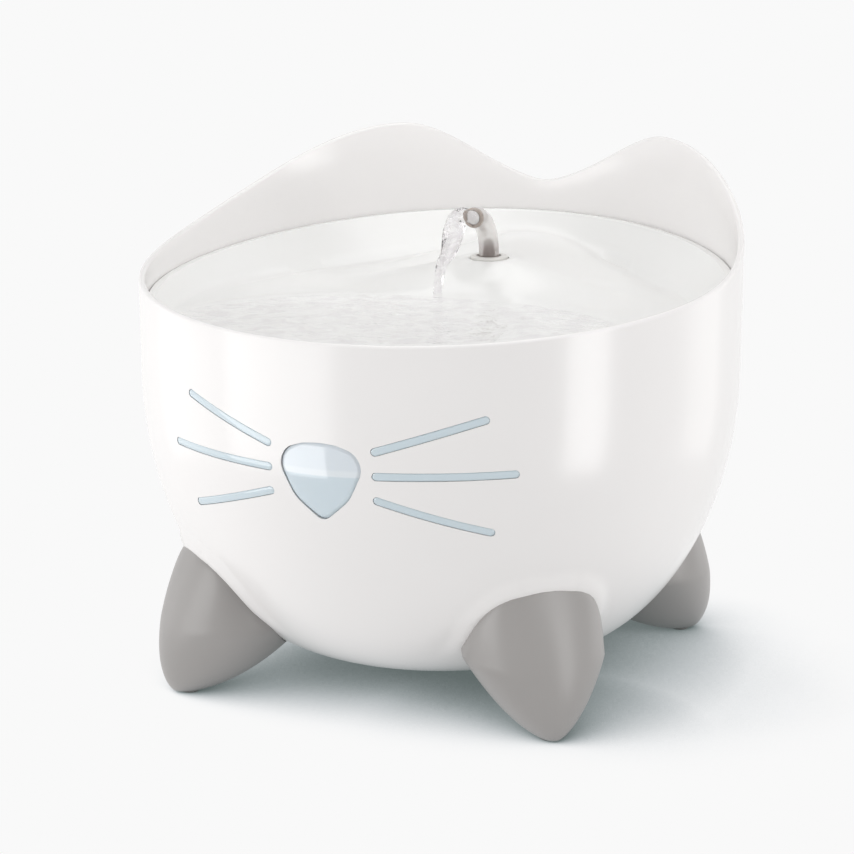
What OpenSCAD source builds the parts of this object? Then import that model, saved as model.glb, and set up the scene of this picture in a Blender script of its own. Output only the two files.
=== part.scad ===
// Cat-face drinking fountain: a bowl on four ear-shaped feet, with a lift-off drinking tray, a bent clear
// spout, a filter and pump inside and a dry bay underneath. Origin on the table under the bowl's axis, front
// towards -Y, up +Z.

/* [Bowl] */
// Outer radius of the bowl where its wall turns upright
bowl_r = 119.8; // [112:0.1:130]
// Radius of the flat underside
base_r = 45.6; // [42:0.1:52]
// Height of the flat underside above the table
base_z = 11.2; // [9.5:0.1:14]
// Height at which the curved wall turns upright
shoulder_z = 125; // [118:0.5:130]
// How far the upright wall leans out up to the ears
wall_lean = 0.8; // [0:0.1:2]
// Wall thickness of the bowl
wall = 2.6; // [2:0.1:3.2]

/* [Rim] */
// Height of the rim at the front
rim_front_z = 155.5; // [152:0.5:160]
// How much higher the rim is at the back, without the ears
rim_rise = 20; // [14:0.5:26]
// Height of an ear over the rim
ear_h = 30.5; // [15:0.5:38]
// Angle of an ear from the back, seen from above
ear_angle = 30.8; // [26:0.2:38]
// Angular width of an ear towards the back
ear_w_in = 21.6; // [18:0.2:26]
// Angular width of an ear towards the front
ear_w_out = 36; // [26:0.5:40]

/* [Feet] */
// Height of a foot, up to its top on the bowl
foot_h = 57.5; // [52:0.5:64]
// How far the tips stand inside the bowl's outer radius
foot_tip_in = 6.8; // [3:0.1:12]
// How far a foot bulges out past its tip
foot_bulge = 7.4; // [5:0.1:11]
// Height of the widest bulge
foot_bulge_z = 15.5; // [12:0.5:22]
// Half width of a foot where it is widest
foot_half_w = 26.2; // [22:0.2:32]
// Angle of the front feet from the front, seen from above
front_foot_angle = 44.2; // [40:0.2:50]
// Angle of the rear feet from the back, seen from above
rear_foot_angle = 46.4; // [40:0.2:50]
// Thickness of the rubber pad under a foot
pad_t = 1; // [0.8:0.1:2]
// Radius of the rubber pad
pad_r = 3.8; // [3:0.1:4.5]

/* [Face] */
// Height of the middle of the nose
nose_z = 103.5; // [98:0.5:108]
// Half width of the nose between its corner centres
nose_half_w = 8.4; // [7:0.1:10]
// Height of the corner centres over the middle of the nose
nose_corner_up = 5; // [4:0.1:7]
// Corner radius of the nose
nose_corner_r = 7.8; // [6:0.1:9]
// Half length of the nose's nearly straight top edge
nose_top_half_w = 5.4; // [4:0.1:7]
// Height of the centres of the top edge's ends over the middle of the nose
nose_top_up = 8.1; // [7:0.1:9]
// Radius at the ends of the nose's top edge
nose_top_r = 5.8; // [5:0.1:7]
// Radius of the full sides of the nose, round a point just over its middle
nose_side_r = 13.5; // [12:0.1:14]
// Height of that point over the middle of the nose
nose_side_up = 0.8; // [0:0.1:2]
// Distance of the tip centre below the middle of the nose
nose_tip_down = 12; // [9:0.1:14]
// Radius of the nose tip
nose_tip_r = 3.8; // [3:0.1:6]
// Radius of the dome of the nose window
nose_dome_r = 60; // [55:1:70]
// How far the dome stands out at its middle
nose_proud = 0.8; // [0.4:0.1:1]
// Width of a whisker
whisker_w = 3.3; // [2.2:0.1:3.6]
// Distance of the whiskers' inner ends from the middle
whisker_x = 20; // [19:0.5:24]
// Spacing of the whiskers' inner ends in height
whisker_pitch = 9; // [7:0.1:10.5]
// Height of the middle whiskers
whisker_z = 106.2; // [104:0.1:108]
// Length of the upper whiskers
whisker_len_up = 43.2; // [36:0.2:45]
// Length of the middle whiskers
whisker_len_mid = 50.2; // [42:0.2:52]
// Length of the lower whiskers
whisker_len_low = 43.2; // [36:0.2:45]
// Slope of the upper and lower whiskers
whisker_slope = 18; // [12:0.5:22]

/* [Tray] */
// Height of the tray's rim over the bowl's axis
tray_z = 155; // [152:0.5:157]
// Tilt of the tray's rim, rise per unit of length towards the back
tray_tilt = 0.078; // [0.04:0.002:0.085]
// Upward sweep of the tray's rim towards the front and the back, per square millimetre
tray_sweep = 0.00028; // [0.0001:0.00001:0.00032]
// Width of the tray's flat flange
flange_w = 3.2; // [2.6:0.1:5]
// Slope of the tray's ring wall, fall per unit of length inwards
ring_slope = 1.3; // [1:0.05:1.8]
// Thickness of the tray
tray_t = 2.5; // [2:0.1:3]
// Height of the shelf round the pool
shelf_z = 145; // [143:0.2:146]
// Depth of the pool below the shelf
pool_d = 11; // [7:0.5:13]
// Half width of the pool
pool_half_w = 98; // [85:1:102]
// Half length of the pool
pool_half_l = 80; // [65:1:84]
// Distance of the pool's middle in front of the axis
pool_front = 48; // [40:1:52]
// Height of the hill under the spout over the shelf
hill_h = 15; // [10:0.5:17]
// Half width of the hill
hill_w = 30; // [24:0.5:38]
// Radius of the drain holes
drain_r = 1.8; // [1.2:0.1:2]
// Number of drain holes
drain_n = 9; // [5:2:11]

/* [Spout] */
// Distance of the spout's axis in front of the middle of the curved wall
spout_back = 29.7; // [28:0.1:32]
// Outer radius of the spout tube
spout_r = 4.2; // [3.6:0.1:4.6]
// Inner radius of the spout tube
spout_in_r = 3.1; // [2.4:0.1:3.3]
// Straight length of the spout over its collar
spout_rise = 0.4; // [0.2:0.1:4]
// Radius of the bend, at the middle of the tube
spout_bend_r = 17.5; // [15:0.5:22]
// Angle of the bend
spout_bend_a = 92; // [75:1:110]
// How far the spout turns to either side
spout_turn = 30; // [15:1:40]
// Outer radius of the collar's flange
collar_r = 7.9; // [7.6:0.1:9]
// Outer radius of the riser tube
riser_r = 6; // [5.6:0.1:6.4]
// Height of the riser tube's lower end
riser_z = 66.5; // [65.5:0.5:70]

/* [Filter] */
// Outer radius of the filter housing
housing_r = 34; // [32.5:0.5:35]
// Wall of the filter housing
housing_wall = 2.4; // [2:0.1:2.6]
// Height of the filter housing's upper edge
housing_top_z = 92; // [90:0.5:100]
// Thickness of the filter cartridge
cartridge_t = 10; // [8:0.5:11]
// Height of the seat for the cartridge
seat_z = 78; // [77:0.5:79]
// Number of slots in the filter cover
cover_slots = 18; // [10:1:20]

/* [Pump] */
// Half width of the pump housing
pump_half_w = 15; // [14.5:0.1:16]
// Length of the pump housing
pump_l = 30; // [29:0.5:31]
// Height of the pump housing
pump_h = 31; // [30.5:0.5:32]
// Radius of the impeller chamber
chamber_r = 11; // [10:0.1:11.5]
// Depth of the impeller chamber
chamber_d = 11; // [10:0.5:12]
// Radius of the impeller's magnet
magnet_r = 6.6; // [6:0.1:7]
// Radius of the impeller's shaft
shaft_r = 1.2; // [1:0.05:1.4]
// Number of impeller blades
blade_n = 6; // [4:1:8]
// Radius of the flow dial
dial_r = 5; // [4:0.1:5.5]
// Radius of the pump lead
lead_r = 2; // [1.6:0.1:2.2]

/* [Dry bay] */
// Height of the reservoir's raised floor over the bay
floor_z = 24.5; // [23.5:0.1:24.8]
// Thickness of the base cover
cover_t = 2; // [1.6:0.1:2.4]
// Distance of the cover screws from the bay's wall
screw_inset = 7; // [6.8:0.1:9]
// Radius of a cover screw's shank
screw_r = 1.3; // [1:0.1:1.5]
// Distance of the control board's edge from the bay's wall
board_inset = 13; // [12:0.5:16]
// Radius of the cord hole in the cable gland
cord_r = 2; // [1.6:0.1:2.4]

/* [Clearances] */
// Gap between the tray and the bowl
tray_gap = 0.35; // [0.3:0.05:0.5]
// Gap under pieces that lift off
seat_gap = 0.3; // [0.2:0.05:0.4]
// Gap round pieces that are set into the shell
window_gap = 0.05; // [0.03:0.01:0.1]
// Radial gap of turning pieces
turn_gap = 0.06; // [0.03:0.01:0.09]

/* [Hidden] */

$fn = 64;
eps = 0.01;
curve_steps = 24;
far = 2 * bowl_r;

// The bowl's curved wall is a quarter ellipse from the edge of the flat underside to the shoulder.
curve_a = bowl_r - base_r;
curve_b = shoulder_z - base_z;
rim_peak_z = rim_front_z + rim_rise + ear_h;
bay_r = base_r - wall;
spout_y = (bowl_r + base_r) / 2 - spout_back;
foot_tip_r = bowl_r - foot_tip_in;
screw_circle_r = bay_r - screw_inset;
board_r = bay_r - board_inset;

function wall_r(z) = bowl_r + wall_lean * (z - shoulder_z) / (rim_peak_z - shoulder_z);
function bowl_out_r(z) =
    z > shoulder_z ? wall_r(z) : base_r + curve_a * sqrt(max(0, 1 - pow((shoulder_z - z) / curve_b, 2)));
function curve_normal(t) = let (n = [sin(t) / curve_a, -cos(t) / curve_b]) n / norm(n);
function curve_point(t, d) =
    [base_r + curve_a * sin(t), shoulder_z - curve_b * cos(t)] - d * curve_normal(t);

// The wall's surface at depth d below the outside, from the underside up to the height top.
function skin(d, top) = concat(
    [for (i = [0:curve_steps]) curve_point(90 * i / curve_steps, d)],
    [[wall_r(top) - d, top]]
);
function reversed(list) = [for (i = [len(list) - 1:-1:0]) list[i]];

// Height of the bowl's rim at the angle a from the back.
// The valley between the ears is rounded over a few degrees.
valley_a = 2.5;
function ear_shape(a) =
    let (b = sqrt(a * a + valley_a * valley_a))
    exp(-pow((b - ear_angle) / (b < ear_angle ? ear_w_in : ear_w_out), 2));
function rim_z(a) = rim_front_z + rim_rise * (1 + cos(a)) / 2 + ear_h * ear_shape(a);

// Everything inside the surface at depth d, up to the height top.
module inside_of_bowl(d, top) {
    rotate_extrude($fn = 128)
        polygon(concat([[0, base_z + d]], skin(d, top), [[0, top]]));
}

// A shell between two depths, used for the pieces that lie against the wall.
module wall_layer(d_out, d_in, top) {
    rotate_extrude($fn = 128)
        polygon(concat(skin(d_out, top), reversed(skin(d_in, top))));
}

// A side outline, given as points of y and z, drawn through the whole width.
module across(points) {
    rotate([90, 0, 90]) linear_extrude(height = 2 * far, center = true) polygon(points);
}

// A front outline, drawn in x and z, pushed through the front wall.
module through_front() {
    rotate([90, 0, 0]) translate([0, 0, bowl_r / 2]) linear_extrude(height = bowl_r) children();
}

// ---- Tray surface ----
tray_r = wall_r(tray_z) - wall - tray_gap;
ledge_in_r = tray_r - flange_w + 0.7;
ledge_h = 3.2;
hill_foot_y = spout_y - 29;
hill_len = 32;
blend_h = 1.8;

function smooth_step(u) = let (c = min(1, max(0, u))) c * c * (3 - 2 * c);
function smooth_max(a, b) = (a + b + sqrt(pow(a - b, 2) + blend_h * blend_h)) / 2;
function tray_rim_z(y) = tray_z + tray_tilt * y + tray_sweep * y * y;
function hill_at(x, y) =
    hill_h * exp(-x * x / (2 * hill_w * hill_w))
    * (0.86 * smooth_step((y - hill_foot_y) / hill_len) + 0.14 * smooth_step((y - spout_y) / 50));
function pool_at(x, y) =
    pool_d * pow(max(0, 1 - pow(x / pool_half_w, 2) - pow((y + pool_front) / pool_half_l, 2)), 0.8);
function tray_floor_z(x, y) = shelf_z + hill_at(x, y) - pool_at(x, y);
function tray_top_z(r, a) =
    let (x = r * sin(a), y = r * cos(a), rim = tray_rim_z(tray_r * cos(a)), in = tray_r - flange_w - r)
    in <= 0 ? tray_rim_z(tray_r * cos(a))
            : min(rim, smooth_max(rim - ring_slope * in, tray_floor_z(x, y)));

// The seat of the collar is the tray's height on the spout's axis.
collar_seat_z = tray_top_z(spout_y, 0);

// ---- Feet ----
foot_steps = 18;
foot_arc = 14;
foot_gap = 0.1;
foot_lip = 1;
// From the tip upwards, the inside and the middle of a section move inwards with the root of the height.
foot_in_fall = 10.9;
foot_mid_fall = 4.3;
// A section is widest at this share of the height.
foot_full = 0.5;

function foot_out_r(z) =
    z < foot_bulge_z
        ? foot_tip_r + foot_bulge * sqrt(max(0, 1 - pow(1 - z / foot_bulge_z, 2)))
        : let (top_r = bowl_out_r(foot_h) + foot_gap + foot_lip, full_r = foot_tip_r + foot_bulge)
          full_r - (full_r - top_r) * pow((z - foot_bulge_z) / (foot_h - foot_bulge_z), 1.8);
function foot_in_r(z) = foot_tip_r - foot_in_fall * sqrt(z);
function foot_mid_r(z) = max(foot_tip_r - foot_mid_fall * sqrt(z), z > base_z ? bowl_out_r(z) + foot_gap : 0);
function foot_w(z) =
    let (full_z = foot_full * foot_h, end = max(0, (z - full_z) / (1.005 * foot_h - full_z)))
    foot_half_w * pow(min(z, full_z) / full_z, 0.56) * pow(1 - pow(end, 3), 1 / 3);
function foot_point(z, t, inner) =
    let (
        mid = foot_mid_r(z),
        side = asin(foot_w(z) / mid) * sin(t),
        reach = max(0, cos(t)),
        touch = z > base_z ? bowl_out_r(z) + foot_gap : 0,
        r = inner ? max(mid - (mid - foot_in_r(z)) * reach, touch)
                  : mid + (foot_out_r(z) - mid) * reach
    )
    [r * cos(side), r * sin(side), z];
function foot_ring(z) = concat(
    [for (i = [0:foot_arc]) foot_point(z, -90 + 180 * i / foot_arc, false)],
    [for (i = [1:foot_arc - 1]) foot_point(z, 90 - 180 * i / foot_arc, true)]
);

// A closed loft through rings of equal length, with flat ends.
module loft(rings) {
    n = len(rings[0]);
    last = len(rings) - 1;
    polyhedron(
        points = [for (ring = rings) for (p = ring) p],
        faces = concat(
            [[for (j = [0:n - 1]) j]],
            [for (i = [0:last - 1]) for (j = [0:n - 1])
                [i * n + j, (i + 1) * n + j, (i + 1) * n + (j + 1) % n, i * n + (j + 1) % n]],
            [[for (j = [n - 1:-1:0]) last * n + j]]
        ),
        convexity = 6
    );
}

module foot() {
    color("#A8A6A6")
        loft([for (i = [0:foot_steps]) foot_ring(pad_t + (foot_h - pad_t) * pow(i / foot_steps, 1.5))]);
}
// Feet are counted round from the front right one; the angle is measured from +X.
module foot_at(a) { rotate([0, 0, a]) foot(); }

foot_places = [-90 - front_foot_angle, -90 + front_foot_angle, 90 + rear_foot_angle, 90 - rear_foot_angle];
module foot_front_left() { foot_at(foot_places[0]); }
module foot_front_right() { foot_at(foot_places[1]); }
module foot_rear_left() { foot_at(foot_places[2]); }
module foot_rear_right() { foot_at(foot_places[3]); }

pad_at_r = (foot_out_r(pad_t) + foot_in_r(pad_t)) / 2;
module foot_pads() {
    color("#8E8A88")
        for (a = foot_places) rotate([0, 0, a]) translate([pad_at_r, 0, 0]) rotate_extrude()
            polygon([[0, 0], [pad_r - 0.6, 0], [pad_r, 0.5], [pad_r, pad_t], [0, pad_t]]);
}

// ---- Face ----
nose_r = bowl_out_r(nose_z);
nose_tilt = atan(curve_a * (shoulder_z - nose_z) / (curve_b * curve_b)
    / sqrt(1 - pow((shoulder_z - nose_z) / curve_b, 2)));
guide_t = 3;
light_depth = 13;
light_half_w = 74;
light_low_z = 79;
light_high_z = 133;
light_wall = 1.6;

module nose_outline(gap) {
    hull() {
        for (s = [-1, 1]) {
            translate([s * nose_half_w, nose_z + nose_corner_up]) circle(nose_corner_r - gap, $fn = 48);
            translate([s * nose_top_half_w, nose_z + nose_top_up]) circle(nose_top_r - gap, $fn = 48);
        }
        translate([0, nose_z + nose_side_up]) circle(nose_side_r - gap, $fn = 96);
        translate([0, nose_z - nose_tip_down]) circle(nose_tip_r - gap, $fn = 32);
    }
}

module stadium(length, width) {
    for (x = [width / 2, length - width / 2]) translate([x, 0]) circle(width / 2, $fn = 24);
    translate([width / 2, -width / 2]) square([length - width, width]);
}
whisker_lens = [whisker_len_low, whisker_len_mid, whisker_len_up];
module whisker_outlines(gap) {
    for (i = [-1:1])
        translate([whisker_x + gap, whisker_z + i * whisker_pitch])
            rotate(i * whisker_slope + (i == 0 ? 1 : 0))
            stadium(whisker_lens[i + 1] - 2 * gap, whisker_w - 2 * gap);
}

module nose_window() {
    color("#C9DCE4")
        difference() {
            intersection() {
                through_front() nose_outline(window_gap);
                translate([0, -nose_r, nose_z]) rotate([nose_tilt, 0, 0])
                    translate([0, nose_dome_r - nose_proud, 0]) sphere(nose_dome_r, $fn = 128);
            }
            inside_of_bowl(wall, rim_front_z);
        }
}
module whisker_windows_right() {
    color("#C9DCE4")
        intersection() {
            through_front() whisker_outlines(window_gap);
            wall_layer(0, wall, rim_front_z);
        }
}
module whisker_windows_left() { mirror([1, 0, 0]) whisker_windows_right(); }

module light_block(grow) {
    translate([-light_half_w - grow, -bowl_r, light_low_z - grow])
        cube([2 * (light_half_w + grow), bowl_r, light_high_z - light_low_z + 2 * grow]);
}
// The board stands square to the wall behind the nose, on four posts of the light guide.
board_depth = 8.8;
board_t = 1.6;
board_half_w = 20;
board_half_h = 11;
module behind_nose(depth) {
    translate([0, -nose_r, nose_z]) rotate([nose_tilt, 0, 0]) translate([0, depth, 0]) children();
}
module light_guide() {
    color("#E4EFF3") {
        intersection() {
            wall_layer(wall, wall + guide_t, rim_front_z);
            light_block(-window_gap);
        }
        for (x = [-1, 1]) for (z = [-1, 1])
            difference() {
                behind_nose(wall + guide_t - 1) translate([x * (board_half_w - 3), 0, z * (board_half_h - 3)])
                    rotate([-90, 0, 0]) cylinder(r = 1.8, h = board_depth - wall - guide_t + 1);
                wall_layer(-1, wall + guide_t / 2, rim_front_z);
            }
    }
}
module light_board() {
    color("#2E7D5B")
        behind_nose(board_depth) translate([-board_half_w, 0, -board_half_h])
            cube([2 * board_half_w, board_t, 2 * board_half_h]);
}
module leds() {
    color("#FFF6D8")
        for (x = [-14, 0, 14]) behind_nose(board_depth) translate([x, 0, 0]) rotate([90, 0, 0]) {
            cylinder(r = 1.5, h = 0.9);
            translate([0, 0, 0.9]) intersection() {
                sphere(1.2, $fn = 24);
                cylinder(r = 2, h = 2);
            }
        }
}
module light_housing() {
    color("#F2F2F0") {
        difference() {
            intersection() {
                wall_layer(wall, wall + light_depth, rim_front_z);
                light_block(light_wall);
            }
            intersection() {
                wall_layer(wall - 1, wall + light_depth - light_wall, rim_front_z);
                light_block(0);
            }
        }
        intersection() {
            wall_layer(wall, wall + 5, rim_front_z);
            translate([-4, -bowl_r, base_z])
                cube([8, bowl_r - base_r - 1, light_low_z - light_wall - base_z]);
        }
    }
}

// ---- Bowl ----
screw_post_r = 3.2;
board_post_r = 2.5;
board_z = floor_z - wall - 4.4;
screw_len = 8;
gland_gap = 7;
gland_at = [10, spout_y - housing_r - gland_gap];
gland_r = 5;
gland_hole_r = 3.6;

// Everything above the rim: a ring whose lower side follows the rim's height round the bowl.
rim_steps = 120;
module above_rim() {
    low_r = bowl_r - 3 * wall;
    high_r = bowl_r + 3 * wall;
    top = rim_peak_z + wall;
    n = rim_steps;
    function corner(r, i, z) = let (a = 360 * i / n) [r * sin(a), r * cos(a), z];
    function height(i) = let (a = 360 * i / n) rim_z(min(a, 360 - a));
    polyhedron(
        points = [for (i = [0:n - 1]) each [
            corner(low_r, i, height(i)), corner(high_r, i, height(i)),
            corner(high_r, i, top), corner(low_r, i, top)
        ]],
        faces = [for (i = [0:n - 1]) let (j = (i + 1) % n) for (k = [0:3]) let (m = (k + 1) % 4) each [
            [4 * i + k, 4 * j + m, 4 * i + m], [4 * i + k, 4 * j + k, 4 * j + m]
        ]],
        convexity = 6
    );
}

module at_screws() {
    for (a = [0:90:270]) rotate([0, 0, a + 45]) translate([screw_circle_r, 0, 0]) children();
}

module body_shell() {
    color("#F4F3F1")
        difference() {
            union() {
                difference() {
                    rotate_extrude($fn = 128)
                        polygon(concat(
                            [[bay_r, base_z]],
                            skin(0, rim_peak_z),
                            reversed(skin(wall, rim_peak_z)),
                            [[base_r, floor_z], [0, floor_z], [0, floor_z - wall], [bay_r, floor_z - wall]]
                        ));
                    above_rim();
                }
                // ledge that carries the tray
                intersection() {
                    difference() {
                        cylinder(r = tray_r + tray_gap + wall / 2, h = far);
                        translate([0, 0, -1]) cylinder(r = ledge_in_r, h = far + 2);
                    }
                    across(concat(
                        [for (y = [-far / 2:10:far / 2]) [y, tray_rim_z(y) - tray_t - seat_gap]],
                        [for (y = [far / 2:-10:-far / 2]) [y, tray_rim_z(y) - tray_t - seat_gap - ledge_h]]
                    ));
                }
                // posts for the cover's screws and for the control board
                at_screws() translate([0, 0, base_z + cover_t])
                    cylinder(r = screw_post_r, h = floor_z - base_z - wall);
                for (a = [30:120:270]) rotate([0, 0, a]) translate([board_r - 8, 0, board_z + board_t])
                    cylinder(r = board_post_r, h = floor_z - wall / 2 - board_z - board_t);
            }
            through_front() nose_outline(0);
            for (m = [0, 1]) mirror([m, 0, 0]) through_front() whisker_outlines(0);
            at_screws() translate([0, 0, base_z - 1]) cylinder(r = screw_r, h = screw_len + 1, $fn = 24);
            translate([gland_at[0], gland_at[1], floor_z - wall - 1])
                cylinder(r = gland_hole_r, h = wall + 2);
        }
}

// ---- Tray, collar, spout and riser ----
tray_sectors = 60;
tray_radii = [
    for (u = [0.1, 0.2, 0.3, 0.4, 0.5, 0.6, 0.68, 0.76, 0.83, 0.89, 0.94, 0.98, 1]) u * (tray_r - flange_w),
    tray_r
];
module tray_dish() {
    n = tray_sectors;
    k = len(tray_radii);
    function ring_points(drop) = concat(
        [[0, 0, tray_top_z(0, 0) - drop]],
        [for (r = tray_radii) for (i = [0:n - 1])
            let (a = 360 * i / n) [r * sin(a), r * cos(a), tray_top_z(r, a) - drop]]
    );
    low = 1 + k * n;
    function at(j, i) = 1 + j * n + i % n;
    polyhedron(
        points = concat(ring_points(0), ring_points(tray_t)),
        faces = concat(
            [for (i = [0:n - 1]) [0, at(0, i), at(0, i + 1)]],
            [for (j = [0:k - 2]) for (i = [0:n - 1]) each [
                [at(j, i), at(j + 1, i), at(j + 1, i + 1)],
                [at(j, i), at(j + 1, i + 1), at(j, i + 1)]
            ]],
            [for (i = [0:n - 1]) [low, low + at(0, i + 1), low + at(0, i)]],
            [for (j = [0:k - 2]) for (i = [0:n - 1]) each [
                [low + at(j, i), low + at(j + 1, i + 1), low + at(j + 1, i)],
                [low + at(j, i), low + at(j, i + 1), low + at(j + 1, i + 1)]
            ]],
            [for (i = [0:n - 1]) each [
                [at(k - 1, i), low + at(k - 1, i), low + at(k - 1, i + 1)],
                [at(k - 1, i), low + at(k - 1, i + 1), at(k - 1, i + 1)]
            ]]
        ),
        convexity = 8
    );
}

sleeve_r = spout_r + 2;
sleeve_z = collar_seat_z - 9;
collar_t = 1.6;
spout_bend_z = collar_seat_z + collar_t + spout_rise;
drain_step = 6;

module on_spout_axis() { translate([0, spout_y, 0]) children(); }

module drinking_tray() {
    color("#F8F8F7")
        difference() {
            union() {
                tray_dish();
                // boss round the spout, from the dish down to the sleeve's end
                on_spout_axis() translate([0, 0, sleeve_z])
                    cylinder(r = sleeve_r + 2.2, h = collar_seat_z - sleeve_z);
            }
            on_spout_axis() translate([0, 0, shelf_z - 5]) cylinder(r = sleeve_r + window_gap, h = far);
            on_spout_axis() translate([0, 0, collar_seat_z]) cylinder(r = collar_r + 2.5, h = 20);
            for (i = [0:drain_n - 1])
                rotate([0, 0, 180 + (i - (drain_n - 1) / 2) * drain_step])
                    translate([0, tray_r - flange_w - 3.2, 100]) cylinder(r = drain_r, h = 100, $fn = 24);
        }
}
// The collar has a groove in which the spout's lug travels, so that the stream always falls into the pool.
lug_h = 2;
lug_out = 1;
lug_half_a = 14;
module spout_collar() {
    color("#CFCBC8")
        on_spout_axis() difference() {
            rotate_extrude()
                polygon([
                    [spout_r + turn_gap, sleeve_z], [sleeve_r, sleeve_z], [sleeve_r, collar_seat_z],
                    [collar_r, collar_seat_z], [collar_r, collar_seat_z + 0.9],
                    [collar_r - 0.8, collar_seat_z + collar_t], [spout_r + turn_gap, collar_seat_z + collar_t]
                ]);
            translate([0, 0, collar_seat_z + collar_t - lug_h])
                rotate([0, 0, -90 - spout_turn - lug_half_a])
                    rotate_extrude(angle = 2 * (spout_turn + lug_half_a))
                        translate([spout_r - 1, 0]) square([lug_out + 1 + turn_gap, lug_h + 1]);
        }
}
// The spout's straight stem and its bend towards the front.
module spout_path(r) {
    stem_z = sleeve_z - 10;
    translate([0, 0, stem_z]) cylinder(r = r, h = spout_bend_z - stem_z);
    translate([0, -spout_bend_r, spout_bend_z]) rotate([90, 0, 90])
        rotate_extrude(angle = spout_bend_a) translate([spout_bend_r, 0]) circle(r, $fn = 32);
}
module spout() {
    color("#DAD6D2", 0.6)
        on_spout_axis() difference() {
            union() {
                spout_path(spout_r);
                // stop lug
                translate([0, 0, collar_seat_z + collar_t - lug_h + seat_gap])
                    rotate([0, 0, -90 - lug_half_a]) rotate_extrude(angle = 2 * lug_half_a)
                        translate([spout_r - 0.5, 0])
                        square([lug_out + 0.5 - turn_gap, lug_h - seat_gap]);
            }
            spout_path(spout_in_r);
        }
}
module riser_tube() {
    color("#E6E6E4", 0.6)
        on_spout_axis() translate([0, 0, riser_z]) difference() {
            cylinder(r = riser_r, h = sleeve_z - riser_z);
            translate([0, 0, -1]) cylinder(r = spout_r + turn_gap, h = sleeve_z - riser_z + 2);
        }
}

// ---- Filter ----
housing_floor_z = floor_z + seat_gap;
housing_in_r = housing_r - housing_wall;
chamber_floor_z = housing_floor_z + housing_wall;
seat_w = 2;
lead_run_z = 69.5;
ring_t = 1.4;
riser_hole_r = riser_r + 0.4;

module filter_housing() {
    color("#E9E9E7")
        difference() {
            union() {
                difference() {
                    intersection() {
                        on_spout_axis() translate([0, 0, housing_floor_z])
                            cylinder(r = housing_r, h = housing_top_z - housing_floor_z);
                        inside_of_bowl(wall + seat_gap, shoulder_z);
                    }
                    intersection() {
                        on_spout_axis() translate([0, 0, chamber_floor_z])
                            cylinder(r = housing_in_r, h = far);
                        inside_of_bowl(wall + seat_gap + housing_wall, shoulder_z);
                    }
                }
                on_spout_axis() translate([0, 0, seat_z - 2]) difference() {
                    cylinder(r = housing_in_r + 1, h = 2);
                    translate([0, 0, -1]) cylinder(r = housing_in_r - seat_w, h = 4);
                }
            }
            // way out for the pump's lead
            translate([gland_at[0], spout_y, lead_run_z]) rotate([90, 0, 0])
                cylinder(r = lead_r + 0.3, h = housing_r + 5);
        }
}
module filter_frame() {
    color("#F0F0EE")
        on_spout_axis() translate([0, 0, seat_z + window_gap]) {
            difference() {
                cylinder(r = housing_in_r - seat_gap, h = cartridge_t);
                translate([0, 0, -1]) cylinder(r = housing_in_r - seat_gap - ring_t, h = cartridge_t + 2);
            }
            difference() {
                cylinder(r = riser_hole_r + ring_t, h = cartridge_t);
                translate([0, 0, -1]) cylinder(r = riser_hole_r, h = cartridge_t + 2);
            }
            for (a = [0:60:300]) rotate([0, 0, a]) translate([riser_hole_r + ring_t / 2, -1, 0])
                cube([housing_in_r - seat_gap - riser_hole_r - ring_t, 2, 1]);
        }
}
module filter_pad() {
    color("#9FB4BC")
        on_spout_axis() translate([0, 0, seat_z + window_gap + 1]) difference() {
            cylinder(r = housing_in_r - seat_gap - ring_t - 0.1, h = cartridge_t - 1.5);
            translate([0, 0, -1]) cylinder(r = riser_hole_r + ring_t + 0.1, h = cartridge_t + 2);
        }
}
lid_t = 2;
slot_in = 3;
slot_edge = 5;
module filter_cover() {
    plug_h = housing_top_z - seat_z - cartridge_t - 2 * seat_gap;
    slot_l = housing_in_r - slot_edge - riser_hole_r - ring_t - slot_in;
    color("#F0F0EE")
        on_spout_axis() translate([0, 0, housing_top_z + seat_gap]) difference() {
            union() {
                cylinder(r = housing_r, h = lid_t);
                translate([0, 0, -plug_h]) difference() {
                    cylinder(r = housing_in_r - seat_gap, h = plug_h + lid_t / 2);
                    translate([0, 0, -1])
                        cylinder(r = housing_in_r - seat_gap - ring_t, h = plug_h + lid_t / 2 + 1);
                }
                translate([0, 0, -plug_h]) cylinder(r = riser_hole_r + ring_t, h = plug_h + 2 * lid_t);
            }
            translate([0, 0, -plug_h - 1]) cylinder(r = riser_hole_r, h = plug_h + 10);
            for (i = [0:cover_slots - 1]) rotate([0, 0, i * 360 / cover_slots])
                translate([riser_hole_r + ring_t + slot_in, -1, -1]) cube([slot_l, 2, lid_t + 2]);
        }
}

// ---- Pump ----
cup_h = 4;
cup_r = 5;
cup_neck_r = 2;
cup_inset = 5.5;
foam_t = 6;
foam_h = 16;
pump_z = chamber_floor_z + cup_h;
pump_front_y = spout_y - chamber_d / 2 - 1;
axle_z = pump_z + 15.5;
cover_d = 3;
nozzle_top_z = riser_z + 7.5;
shaft_back_y = pump_front_y + pump_l - 2;
rotor_back_y = shaft_back_y - 2;
dial_at = [0, axle_z + 9.2];
dial_pin_r = 1.5;

module along_y(y, z, x = 0) { translate([x, y, z]) rotate([-90, 0, 0]) children(); }

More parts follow.
